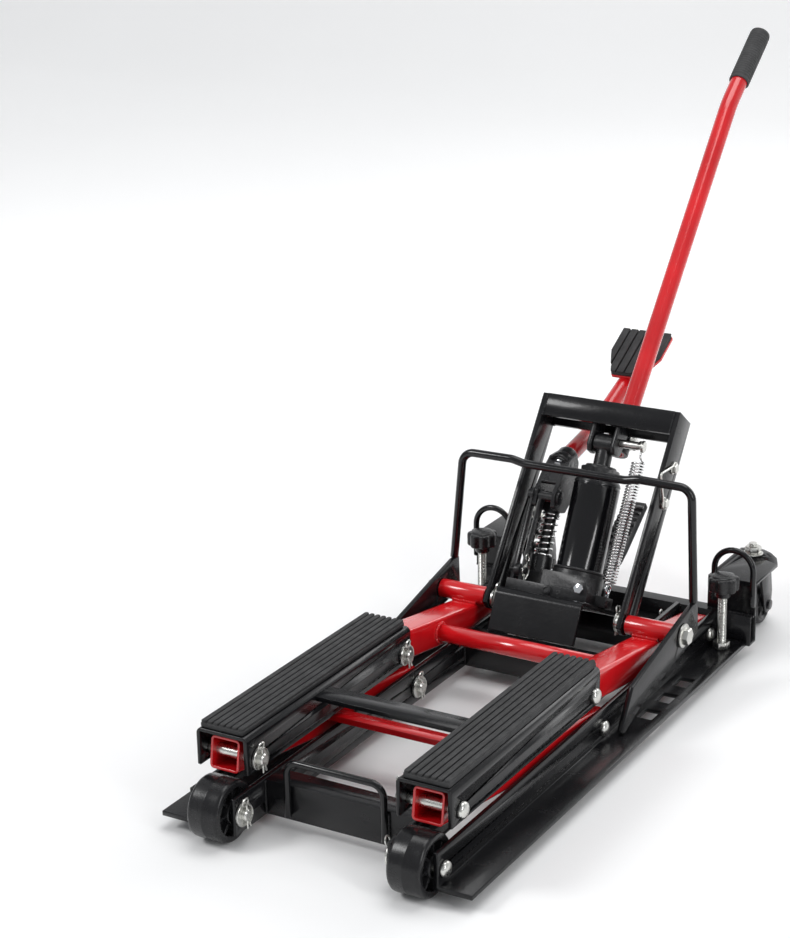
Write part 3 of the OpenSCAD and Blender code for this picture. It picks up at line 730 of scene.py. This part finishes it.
def clipped_washer(x0, x1, r, clip_x, y, z):
    """A washer from x0 to x1 on a pin, and the hairpin clip behind it."""
    return join(xlathe(ring_profile(x0, x1, 6.1, r), y, z, 36, True), hairpin(clip_x, y, z))


saddle_pins = join(*[pin(74, 141.6, 148, 8.5, y, z) for y, z in SADDLE_PINS])
piece("saddle_pins_domed", both(saddle_pins), ZINC, "saddles", "zinc", "saddle_pins")
saddle_clips = join(*[clipped_washer(79.4, 82.2, 11.5, 76.6, y, z) for y, z in SADDLE_PINS])
piece("saddle_hairpins", both(saddle_clips), ZINC, "saddles", "zinc", "saddle_clips")

base_pins = join(*[pin(77, 138, 144, 8, y, z) for y, z in BASE_PINS])
piece("base_pins_domed", both(base_pins), ZINC, "base", "zinc", "base_pins")
clips = join(*[clipped_washer(81.6, 84.2, 12.5, 79, y, z) for y, z in BASE_PINS])
nut = shift(hex_nut(17, 5.6, 18.6, 26.6), *SCREW, 0)
piece("base_hairpins", both(join(clips, nut)), ZINC, "base", "zinc", "base_clips")

washer = [(6.05, 153.5), (13.0, 153.5), (13.5, 154), (13.5, 155.6), (12.8, 156), (6.05, 156)]
stub = join(
    xlathe(rounded(146, 156.5, 6), *STUB, 32),
    xlathe(washer, *STUB, 48, True),
    x_hex(17, 156, 162, *STUB),
    xlathe(rounded(73, 88, 6), *STUB, 32),
    xlathe(ring_profile(76.5, 79.4, 6.1, 11), *STUB, 36, True),
    hairpin(75, *STUB, -1))
piece("stub_hardware", both(stub), ZINC, "rear_arms", "zinc", "stub_bolts")

# ---------- wheels ----------
def wheel(width, r, hub, bore, recess, spokes):
    """Moulded wheel about Z from 0 to width: crowned tread with a mould line, recessed faces, spokes."""
    rim = r - 9 * r / 32
    half = [(bore, 0), (hub - 0.8, 0), (hub, 0.8), (hub + 0.6, recess), (rim - 1.2, recess),
            (rim, recess - 1.5), (rim + 1, 0.8), (rim + 1.8, 0.1), (r - 3.6, 0.1), (r - 1.9, 0.9), (r - 0.8, 2.4),
            (r - 0.35, 4.6), (r - 0.2, width / 2 - 1.0), (r, width / 2 - 0.35)]
    profile = half + [(a, width - b) for a, b in reversed(half)]
    web = box(hub - 1, rim + 0.8, -1.3, 1.3, 1.6, width - 1.6)
    webs = [moved(web, Matrix.Rotation(math.tau * k / spokes, 4, "Z")) for k in range(spokes)]
    return join(lathe(profile, 72, True), *webs)


front = shift(moved(wheel(36, 32, 12, 6.3, 7.5, 8), TO_X), 93, *FRONT_AXLE)
piece_pair("front_roller", front, WHEEL, ("front_wheel_r", "front_wheel_l"), "wheel_plastic",
           "front_wheel", bevel=0.3)
small = shift(moved(wheel(23, 25, 9, 4.3, 4.0, 6), TO_X), KINGPIN[0] - 11.5, KINGPIN[1] + 12, 25)
piece_pair("caster_tyre", small, CASTER, ("caster_wheel_r", "caster_wheel_l"), "caster_plastic",
           "caster_wheel", bevel=0.3)

caster = join(thread(5, 0.7, 1.5, 66, 104), moved(hex_head(15, -68, -62), FLIP),
              lathe(ring_profile(90, 92, 5.05, 12), 40, True), hex_nut(17, 5.0, 92, 100))
piece("caster_stems", both(shift(caster, *KINGPIN, 0)), ZINC, "base", "zinc", "caster_bolts")

# ---------- bent rods ----------
CARRY_Y, CARRY_LEFT, CARRY_RIGHT = -254.5, -57, 52
loop = [(CARRY_LEFT, CARRY_Y, 18), (CARRY_LEFT, CARRY_Y, 78),
        (CARRY_RIGHT, CARRY_Y, 78), (CARRY_RIGHT, CARRY_Y, 18)]
piece("carry_handle", rod(loop, 7, 13), ROD, "base", "rod_black", "carry_loop")

ARCH_X, ARCH_Y, ARCH_Z, ARCH_R = 154.5, 352.4, 103, 23.5
arch = [(ARCH_X - ARCH_R, ARCH_Y, 62), (ARCH_X - ARCH_R, ARCH_Y, ARCH_Z)]
arch += [(ARCH_X - ARCH_R * math.cos(t), ARCH_Y, ARCH_Z + ARCH_R * math.sin(t))
         for t in np.linspace(0.15, math.pi - 0.15, 18)]
arch += [(ARCH_X + ARCH_R, ARCH_Y, ARCH_Z), (ARCH_X + ARCH_R, ARCH_Y, 62)]
piece("strap_loops", both(rod(arch, 7, 0, 16)), ROD, "base", "rod_black", "tie_loops")

bail = [(150, 247, 100.5), (141.4, 255.2, 228.6), (78, 255, 229.4), (62, 255, 226)]
bail += [(-x, y, z) for x, y, z in reversed(bail)]
piece("locking_bail_rod", rod(bail, 9.5, [15, 30, 30, 30, 30, 15], 18), ROD, "lock_bail", "rod_black",
      "bail_rod")

# ---------- base and yoke welds ----------
seams = [bead([(84.2, y, 15), (84.2, y, top)], 1.5)
         for y, top in ((-251.6, 50), (-245.4, 45), (151.4, 49), (157.6, 44), (281.4, 46))]
for start, end, r in (
        ((133.1, 351.6, 19.5), (133.1, 351.6, 48), 1.6), ((89.9, 351.6, 15), (89.9, 351.6, 48), 1.6),
        ((123, 355.6, 49.6), (179, 355.6, 49.6), 1.8), ((124, 361.4, 85.4), (178, 361.4, 85.4), 1.5),
        ((131, 348.6, 64), (131, 348.6, 76), 1.4), ((178, 348.6, 64), (178, 348.6, 76), 1.4)):
    seams.append(bead([start, end], r))
piece("frame_welds", both(join(*seams)), BLACK, "base", "frame_black")
seams = [bead([(x, -251.6, 20), (x, -251.6, 48)], 1.4) for x in (CARRY_LEFT - 3.4, CARRY_RIGHT + 3.4)]
piece("carry_handle_welds", join(*seams), BLACK, "base", "frame_black")
seams = [bead([(79.4, p, 220.6), (79.4, p, 247)], 1.6) for p in (-12.6, 24.6)]
seams.append(bead([(79.4, -8, 242.4), (79.4, 20, 242.4)], 1.5))
piece("yoke_welds", moved(both(join(*seams)), YOKE), BLACK, "yoke", "frame_black")

# ---------- mount under the jack: one bent sheet ----------
def bent_sheet(line, thickness, x0, x1, radius):
    """A sheet that follows (y, z) points with rounded bends, between x0 and x1."""
    path = fillet([(0, y, z) for y, z in line], radius, 8)
    ys = np.array([(p.y, p.z) for p in path])
    d = np.gradient(ys, axis=0)
    d /= np.linalg.norm(d, axis=1)[:, None]
    normal = np.c_[-d[:, 1], d[:, 0]]
    a, b = ys + normal * thickness / 2, ys - normal * thickness / 2
    return prism([tuple(p) for p in a] + [tuple(p) for p in b[::-1]], x0, x1)


mount = bent_sheet([(-55.5, -87.9), (-55.5, -39.5), (43.9, -39.5)], 5, -69.9, 36.9, 7)
piece("jack_cradle", moved(mount, JACK), BLACK, "base", "frame_black", "jack_mount", bevel=0.7)

# ---------- bottle jack ----------
TANK_R, TANK_TOP = 27.0, 100.0
tank = lathe([(16.2, -2.9), (TANK_R - 1.1, -2.9), (TANK_R - 0.1, -2), (TANK_R, 0.5), (TANK_R - 0.4, 2.2),
              (TANK_R - 0.4, TANK_TOP - 4), (TANK_R - 0.1, TANK_TOP - 3.4), (TANK_R - 0.1, TANK_TOP - 2.2),
              (TANK_R - 0.5, TANK_TOP - 1.7), (TANK_R - 0.5, TANK_TOP - 0.1), (16.2, TANK_TOP - 0.1)],
             72, True)
piece("reservoir_shell", moved(tank, JACK), TANK, "base", "reservoir_black", "jack_reservoir")

cap = join(
    lathe([(13.4, 99.9), (26.6, 99.9), (26.8, 100.8), (26.3, 102.6), (25.2, 104.6), (23.9, 106),
           (23.4, 106.6), (24, 107.4), (24, 109.8), (23.4, 110.8), (20.6, 111.2), (13.4, 111.2)], 72, True),
    hexagon_ring(39.6, 111, 119),
    lathe([(13.4, 119), (18, 119), (18, 120.6), (17.2, 121.6), (14.4, 121.9), (13.4, 121.4)], 48, True))
piece("gland_nut", moved(cap, JACK), SMOOTH_CAST, "base", "reservoir_black", "jack_cap", sharp=30)

plug = lathe([(0, 0), (5.3, 0), (5.4, 0.8), (4.6, 1.3), (2.8, 1.3), (2.6, 0.4), (0, 0.4)], 32)
port = lathe([(1.6, 0), (2.6, 0), (2.8, 0.3), (2.6, 0.6), (1.6, 0.6)], 24, True)
collar = lathe([(27.2, -3.2), (28.4, -2.8), (29.2, -1.8), (29.3, -0.6), (28.8, 0.4), (27.6, 1.0), (26.4, 1.2),
                (26.4, -3)], 72, True)
base_bits = [moved(plug, Matrix.Translation((-18, -38.4, -31)) @ TO_FRONT),
             moved(port, Matrix.Translation((-4, -35.9, -31)) @ TO_FRONT), collar]
piece("base_collar", moved(join(*base_bits), JACK), CAST, "base", "cast_black")

PIN_A = 151.2                                   # how far up the jack the clevis pin is
points, faces = join(
    lathe([(0, 121), (10, 121), (10, 134), (9.7, 138), (9.4, 141), (10, 142.4), (0, 142.4)], 36),
    xlathe([(0, -11.3), (11.0, -11.3), (11.6, -10.6), (11.6, 10.6), (11.0, 11.3), (0, 11.3)], 0, 148, 40))
points[:, 1] = np.minimum(points[:, 1], 3.5)    # the eye's rear is cut off flat
piece("ram_eye", moved((points, faces), JACK), SMOOTH_CAST, "ram", "cast_black", "ram_head", sharp=30)
peg = [(0, 17.8), (4.7, 17.8), (4.75, 18.4), (4.75, 40.2), (3.9, 41.0), (3.9, 43.4), (4.6, 44.2), (0, 44.2)]
pegs = join(xlathe(peg, 0, PIN_A, 32),
            xlathe(ring_profile(44, 47.4, 0.01, 7, 0.9), 0, PIN_A, 36, True),
            mirrored(xlathe(dome_profile(17.8, 22, 7), 0, PIN_A, 36)))
piece("ram_pegs", moved(pegs, JACK), ZINC, "ram", "zinc")

# ---------- springs ----------
SPRING_X, SPRING_TILT = 39.0, math.tan(math.radians(2))
PUMP_X, COIL_R, COIL_LOW, COIL_HIGH = -49.0, 9.2, 9.8, 57.4


def stretching(name, shape, node):
    """A spring piece in the jack's frame that replaces node, hangs on no body and has its placement baked into
    its mesh.
    """
    coil = piece(name, moved(shape, JACK), SPRING, "base", "chrome", node, sharp=60, ride=False)
    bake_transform(coil)


def return_coil():
    """The ram's return spring: an eye round the base's ring, close open coils, a hook over the peg."""
    wire, radius, low, high, turns = 1.15, 6.95, -6.5, 132.0, 41
    coil = helix(radius, low, high, turns)
    bottom = [(0, 1.2, -19.4), (0, -2.6, -18.6), (0, -4.6, -15.4), (0, -4.2, -12), (0.4, -2.6, -9.6),
              (2.6, -0.6, -8.4), (5.2, 0.4, -7.6)]
    end = coil[-1]
    top = [(end[0] - 1.4, end[1] + 1.6, high + 1.4), (2.2, 3.4, high + 3.2), (-1.2, 4.6, 139.4),
           (-1.8, 5.4, 144.0), (-1.8, 5.6, 149.0), (-1.8, 4.9, 153.6), (-1.8, 2.0, 156.4), (-1.8, -2.2, 156.2),
           (-1.8, -5.2, 153.0)]
    path = [(a + SPRING_X + SPRING_TILT * max(0.0, min(c, high) - low), b, c)
            for a, b, c in bottom + coil + top]
    return sweep(path, wire, 8)


def flat_turn(z, start, end):
    """The closed last turn of the pump's spring, at one height."""
    return [(COIL_R * math.cos(t) + PUMP_X, COIL_R * math.sin(t), z) for t in np.linspace(start, end, 14)]


stretching("return_spring_coil", return_coil(), "return_spring")
coil = [(x + PUMP_X, y, z) for x, y, z in helix(COIL_R, COIL_LOW, COIL_HIGH, 6.5, 24)]
coil = flat_turn(COIL_LOW, -math.pi * 1.3, -0.26) + coil + flat_turn(COIL_HIGH, math.pi + 0.26, math.pi * 2.3)
stretching("pump_spring_coil", sweep(coil, 1.45, 10), "pump_spring")

# ---------- pump lever, foot tube and plate ----------
def smooth_ring(points, radius, steps=5):
    """A closed outline of (a, b) points with each corner rounded."""
    path = [Vector((a, b, 0)) for a, b in points]
    out = []
    for i in range(len(path)):
        arc = fillet([path[i - 1], path[i], path[(i + 1) % len(path)]], radius, steps)
        out += [(p.x, p.y) for p in arc[1:-1]]
    return out


cheek = smooth_ring([(-28, 62), (-30, 80), (-20, 104), (-8, 124), (4, 130), (14, 124), (20, 100), (16, 78),
                     (6, 62), (-4, 60)], 4)
front_web = smooth_ring([(-26.5, 91), (-18.5, 105), (-7, 124), (2, 126), (2, 118), (-12, 102), (-20, 89)], 2)
lever = join(prism(cheek, PUMP_X - 14, PUMP_X - 9.2), prism(cheek, PUMP_X + 9.2, PUMP_X + 14),
             prism(front_web, PUMP_X - 9.6, PUMP_X + 9.6))
bosses = [xlathe(ring_profile(x0, x1, 6.5, 10.5, 0.8), -22, 75, 40, True)
          for x0, x1 in ((PUMP_X + 13.6, PUMP_X + 14.3), (PUMP_X - 14.3, PUMP_X - 13.6))]
piece("pump_lever_casting", moved(join(lever, *bosses), JACK), SMOOTH_CAST, "pedal", "cast_black",
      "pedal_lever", bevel=1.4)

COLLAR = frame_matrix(316, 207.5, 78.9) @ Matrix.Translation((PUMP_X, 0, 0))
collar = lathe([(0, 1.4), (9.6, 1.4), (10.6, 0.4), (11.4, 0), (13.6, 0), (14.4, 0.9), (14.4, 9.6),
                (13.9, 10.6), (13.0, 11.2), (13.0, 22), (12.2, 24.6), (10.4, 25.4), (0, 25.4)], 56)
ear = shift(box(-13.4, 13.4, -3.6, 3.6, 2.4, 20.5), 0, 8, 0)
piece("pump_lever_collar", moved(join(collar, ear), COLLAR), SMOOTH_CAST, "pedal", "cast_black", bevel=0.8)
bolt = moved(hex_head(12, -0.4, 4.2, washer=7.2), FLIP)
piece("pump_lever_bolt", moved(bolt, COLLAR), CHROME, "pedal", "chrome")
clip = join(shift(hairpin(0, 0, 0), PUMP_X - 3, -30, -14),
            xlathe(ring_profile(PUMP_X - 4.0, PUMP_X - 3.4, 4.05, 7, 0.2), -30, -14, 28, True))
piece("pump_link_clip", moved(clip, JACK), ZINC, "base", "zinc")

line = fillet([(-49, 339, 212), (-48, 410, 226), (-43, 512, 274)], 90, 14)
foot_tube = join(pipe(line, 10.5, 8.2, 32), sweep([(-49, 338, 211.8), (-49, 342, 212.6)], [11.8, 11.2], 28))
piece("foot_lever_tube", foot_tube, RED, "pedal", "arm_red", bevel=0.3)

FOOT = (Matrix.Translation((-42.5, 518, 294)) @ Matrix.Rotation(math.radians(28), 4, "X")
        @ Matrix.Translation((-32.5, -46, 0)))
PLATE_W, PLATE_L, TAPER_X, TAPER_Y = 65.0, 78.0, 15.0, 38.0


def plate_outline(inset=0.0):
    """The tapered outline of the foot plate, taken in by inset."""
    w, l, i = PLATE_W, PLATE_L, inset
    corners = [(TAPER_X, i), (w - TAPER_X, i), (w - i, TAPER_Y), (w - i, l - i), (i, l - i), (i, TAPER_Y)]
    return smooth_ring(corners, 3.0, 4)


def taper(x):
    """How far back the plate's slanted front edge is at x."""
    return max(0.0, TAPER_Y * (1 - min(x, PLATE_W - x) / TAPER_X))


piece("foot_plate", moved(slab(plate_outline(), -4, 0, 0.6), FOOT), RED, "pedal", "arm_red")
pad_parts = [slab(plate_outline(0.6), 0, 3.8, 0.6)]
for i in range(6):
    x0 = 0.9 + i * 10.8
    x1 = x0 + 9.2
    stops = [x for x in (x0, TAPER_X, PLATE_W - TAPER_X, x1) if x0 <= x <= x1]
    front_edge = [(x, taper(x) + 1.2) for x in stops]
    pad_parts.append(slab(front_edge + [(x1, PLATE_L - 1), (x0, PLATE_L - 1)], 3.4, 6.5, 0.8))
stud = lathe([(0, -9), (3.0, -8.8), (4.3, -7.4), (4.5, -5.5), (3.2, -4.4), (3.0, -3.6), (0, -3.6)], 24)
pad_parts += [shift(stud, x, y, 0) for x, y in ((8, 42), (57, 42), (10, 68), (55, 68))]
piece("foot_pad_rubber", moved(join(*pad_parts), FOOT), PAD, "pedal", "pad_rubber", "pedal_pad",
      bevel=0.5, sharp=50)

# ---------- tow handle ----------
HANDLE = YOKE @ Matrix.Translation((0, 40.6, 228)) @ Matrix.Rotation(math.radians(-4.9), 4, "X")
BEND = HANDLE @ Matrix.Translation((0, 0, 451)) @ Matrix.Rotation(math.radians(-11.6), 4, "X")
socket = lathe([(10.6, -25), (13.8, -25), (14.5, -24.2), (14.5, 24.0), (13.7, 24.9), (10.6, 25)], 48, True)
piece("handle_clamp", moved(socket, HANDLE), SMOOTH_CAST, "yoke", "cast_black", "handle_socket")
clamp_bolt = join(xlathe(ring_profile(14.3, 16, 0.01, 8), 0, -10, 32, True), x_hex(13, 16, 21.4, 0, -10))
piece("handle_clamp_bolt", moved(clamp_bolt, HANDLE), ZINC, "yoke", "zinc")
line = fillet([HANDLE @ Vector((0, 0, -25)), BEND @ Vector((0, 0, 0)), BEND @ Vector((0, 0, 118))], 120, 12)
piece("tow_handle", pipe(line, 10.5, 8.2, 40), RED, "yoke", "arm_red", "handle_tube", bevel=0.3)
profile = [(10.6, 36.2), (12.2, 36.2), (12.7, 37.0), (12.7, 39.4), (12.1, 40.2)]
for k in range(19):
    a = 42 + k * 3.7
    profile += [(12.0, a), (12.75, a + 0.7), (12.75, a + 2.5), (12.0, a + 3.2)]
profile += [(12.4, 114), (12.7, 116), (12.2, 119), (10.4, 120.6), (7.5, 121), (0, 121), (0, 119), (10.6, 118)]
piece("handle_grip_rubber", moved(lathe(profile, 48), BEND), GRIP, "yoke", "pad_rubber", "handle_grip",
      sharp=55)

# ---------- latch on the right upright ----------
latch = [sweep(fillet([(88.6, 2, 188), (88.6, -26, 169), (88.6, 2, 146)], 3.5, 6), 1.3, 10)]
for a, way in ((188, 1), (146, -1)):
    latch.append(xlathe(ring_profile(86, 87.5, 0.01, 7), 9, a, 32, True))
    latch.append(x_hex(10, 87.5, 91.5, 9, a))
    hook = [(88.4, 2, a), (88.4, 5, a + 5.5 * way), (88.4, 10, a + 6.6 * way), (88.4, 15, a + 4 * way)]
    latch.append(sweep(hook, 1.3, 8))
piece("latch_wire", moved(join(*latch), YOKE), ZINC, "yoke", "zinc", "latch")

# ---------- levelling screws ----------
def star(inset, n=84):
    """The outline of a seven-lobed knob, taken in by inset, as (x, y) points."""
    out = []
    for i in range(n):
        t = math.tau * i / n
        lobe = (math.cos(7 * t) + 1) / 2
        r = 18.0 - 2.6 * lobe ** 1.8 - inset
        out.append((r * math.cos(t), r * math.sin(t)))
    return out


def knob():
    """A star knob with a round hub below and a flat crown on top."""
    levels = [(89, 2.2), (89.4, 1.0), (90.6, 0.15), (92, 0),
              (102, 0), (103.6, 0.3), (104.7, 1.1), (105.2, 2.4)]
    hub = lathe([(0, 81), (7.9, 81), (8.5, 81.7), (8.6, 86), (9.6, 89.2), (0, 89.2)], 36)
    crown = lathe([(0, 105.1), (13.4, 105.1), (12.6, 106.3), (10, 106.9), (0, 107)], 48)
    return join(stack([(star(inset), z) for z, inset in levels]), hub, crown)


SCREWS = ("screw_r", "screw_l")
stem = join(thread(5.25, 0.75, 1.9, 7, 80), lathe([(0, 5), (4.4, 5), (4.9, 5.6), (4.9, 7.2), (0, 7.2)], 28),
            lathe([(0, 79.5), (5.2, 79.5), (5.2, 81.5), (0, 81.5)], 28))
piece_pair("levelling_stem", shift(stem, *SCREW, 0), ZINC, SCREWS, "zinc", "level_screw")
piece_pair("levelling_knob", shift(knob(), *SCREW, 0), KNOB, SCREWS, "wheel_plastic", sharp=50)


# ---------- studio ----------
def stage_plane():
    """A pale floor that curves up into a wall behind the object. Its glow is painted light, none near the lift
    and more further out, so the floor under the lift keeps its shadow.
    """
    half_width, bend_y, bend_r = 16.0, 3.2, 1.2
    line = [(-6, 0.0), (bend_y, 0.0)]
    line += [(bend_y + bend_r * math.sin(t), bend_r - bend_r * math.cos(t))
             for t in np.linspace(0.15, math.pi / 2, 9)]
    line.append((bend_y + bend_r, 6.0))
    mesh = bpy.data.meshes.new("studio_floor")
    points = [(x, y, z) for y, z in line for x in (-half_width, half_width)]
    mesh.from_pydata(points, [], [(2 * i, 2 * i + 1, 2 * i + 3, 2 * i + 2) for i in range(len(line) - 1)])
    mesh.polygons.foreach_set("use_smooth", [True] * len(mesh.polygons))
    obj = bpy.data.objects.new("studio_floor", mesh)
    bpy.context.scene.collection.objects.link(obj)
    m = Nodes("studio_floor")
    tone = m.mix(m.remap(m.noise(1.2, 2), 0.3, 0.7, 0, 1), (0.84, 0.84, 0.84), (0.87, 0.87, 0.87))
    m.put("Base Color", tone)
    m.put("Roughness", 0.7)
    # Painted light: the floor glows, not at all within 0.6 m of the lift's centre, rising to strength 0.25 at 1.6
    # m.
    m.put("Emission Color", (1, 1, 1, 1))
    distance = m.new("ShaderNodeVectorMath", operation="LENGTH")
    m.link(m.where, distance.inputs[0])
    m.put("Emission Strength", m.remap(distance.outputs["Value"], 0.6, 1.6, 0.0, 0.25))
    mesh.materials.append(m.material)


stage_plane()


def area(name, place, target, size, power):
    """A soft rectangular light at place, turned to target."""
    data = bpy.data.lights.new(name, "AREA")
    data.shape = "RECTANGLE"
    data.size, data.size_y = size
    data.energy = power
    obj = bpy.data.objects.new(name, data)
    bpy.context.scene.collection.objects.link(obj)
    obj.location = place
    obj.rotation_mode = "QUATERNION"
    obj.rotation_quaternion = (Vector(target) - Vector(place)).to_track_quat("-Z", "Y")


area("key", (-2.2, -1.9, 2.6), (0, 0, 0.1), (1.0, 1.0), 50)
area("fill", (2.6, -1.2, 1.6), (0, 0, 0.2), (0.4, 2.0), 27)
area("top", (0.1, 0.3, 3.0), (0, 0, 0), (2.0, 1.6), 36)
area("back", (0.6, 2.6, 1.7), (0, 0, 0.2), (2.2, 1.2), 22)
world = bpy.data.worlds.new("studio")
bpy.context.scene.world = world
world.use_nodes = True
world.node_tree.nodes["Background"].inputs["Color"].default_value = (0.95, 0.97, 1.0, 1)
world.node_tree.nodes["Background"].inputs["Strength"].default_value = 0.42
scene = bpy.context.scene
scene.view_settings.view_transform = "Standard"
scene.view_settings.exposure = 0.0

# ---------- camera ----------
camera_data = bpy.data.cameras.new("camera")
camera = bpy.data.objects.new("camera", camera_data)
scene.collection.objects.link(camera)
AZIMUTH, ELEVATION, ROLL = math.radians(30.87), math.radians(18.82), math.radians(-1.16)
back = Vector((math.sin(AZIMUTH) * math.cos(ELEVATION), -math.cos(AZIMUTH) * math.cos(ELEVATION),
               math.sin(ELEVATION)))
right = (-back).cross(Vector((0, 0, 1))).normalized()
up = right.cross(-back)
right, up = (right * math.cos(ROLL) + up * math.sin(ROLL), up * math.cos(ROLL) - right * math.sin(ROLL))
CAMERA_PLACE = (1020.4 * MM, (-1841.6 - Y_CENTRE) * MM, 1.0255)
camera.matrix_world = Matrix.Translation(CAMERA_PLACE) @ Matrix((
    (right.x, up.x, back.x, 0), (right.y, up.y, back.y, 0), (right.z, up.z, back.z, 0), (0, 0, 0, 1)))
camera_data.sensor_width = 36
camera_data.lens = 84.5
camera_data.clip_start, camera_data.clip_end = 0.05, 50
scene.camera = camera
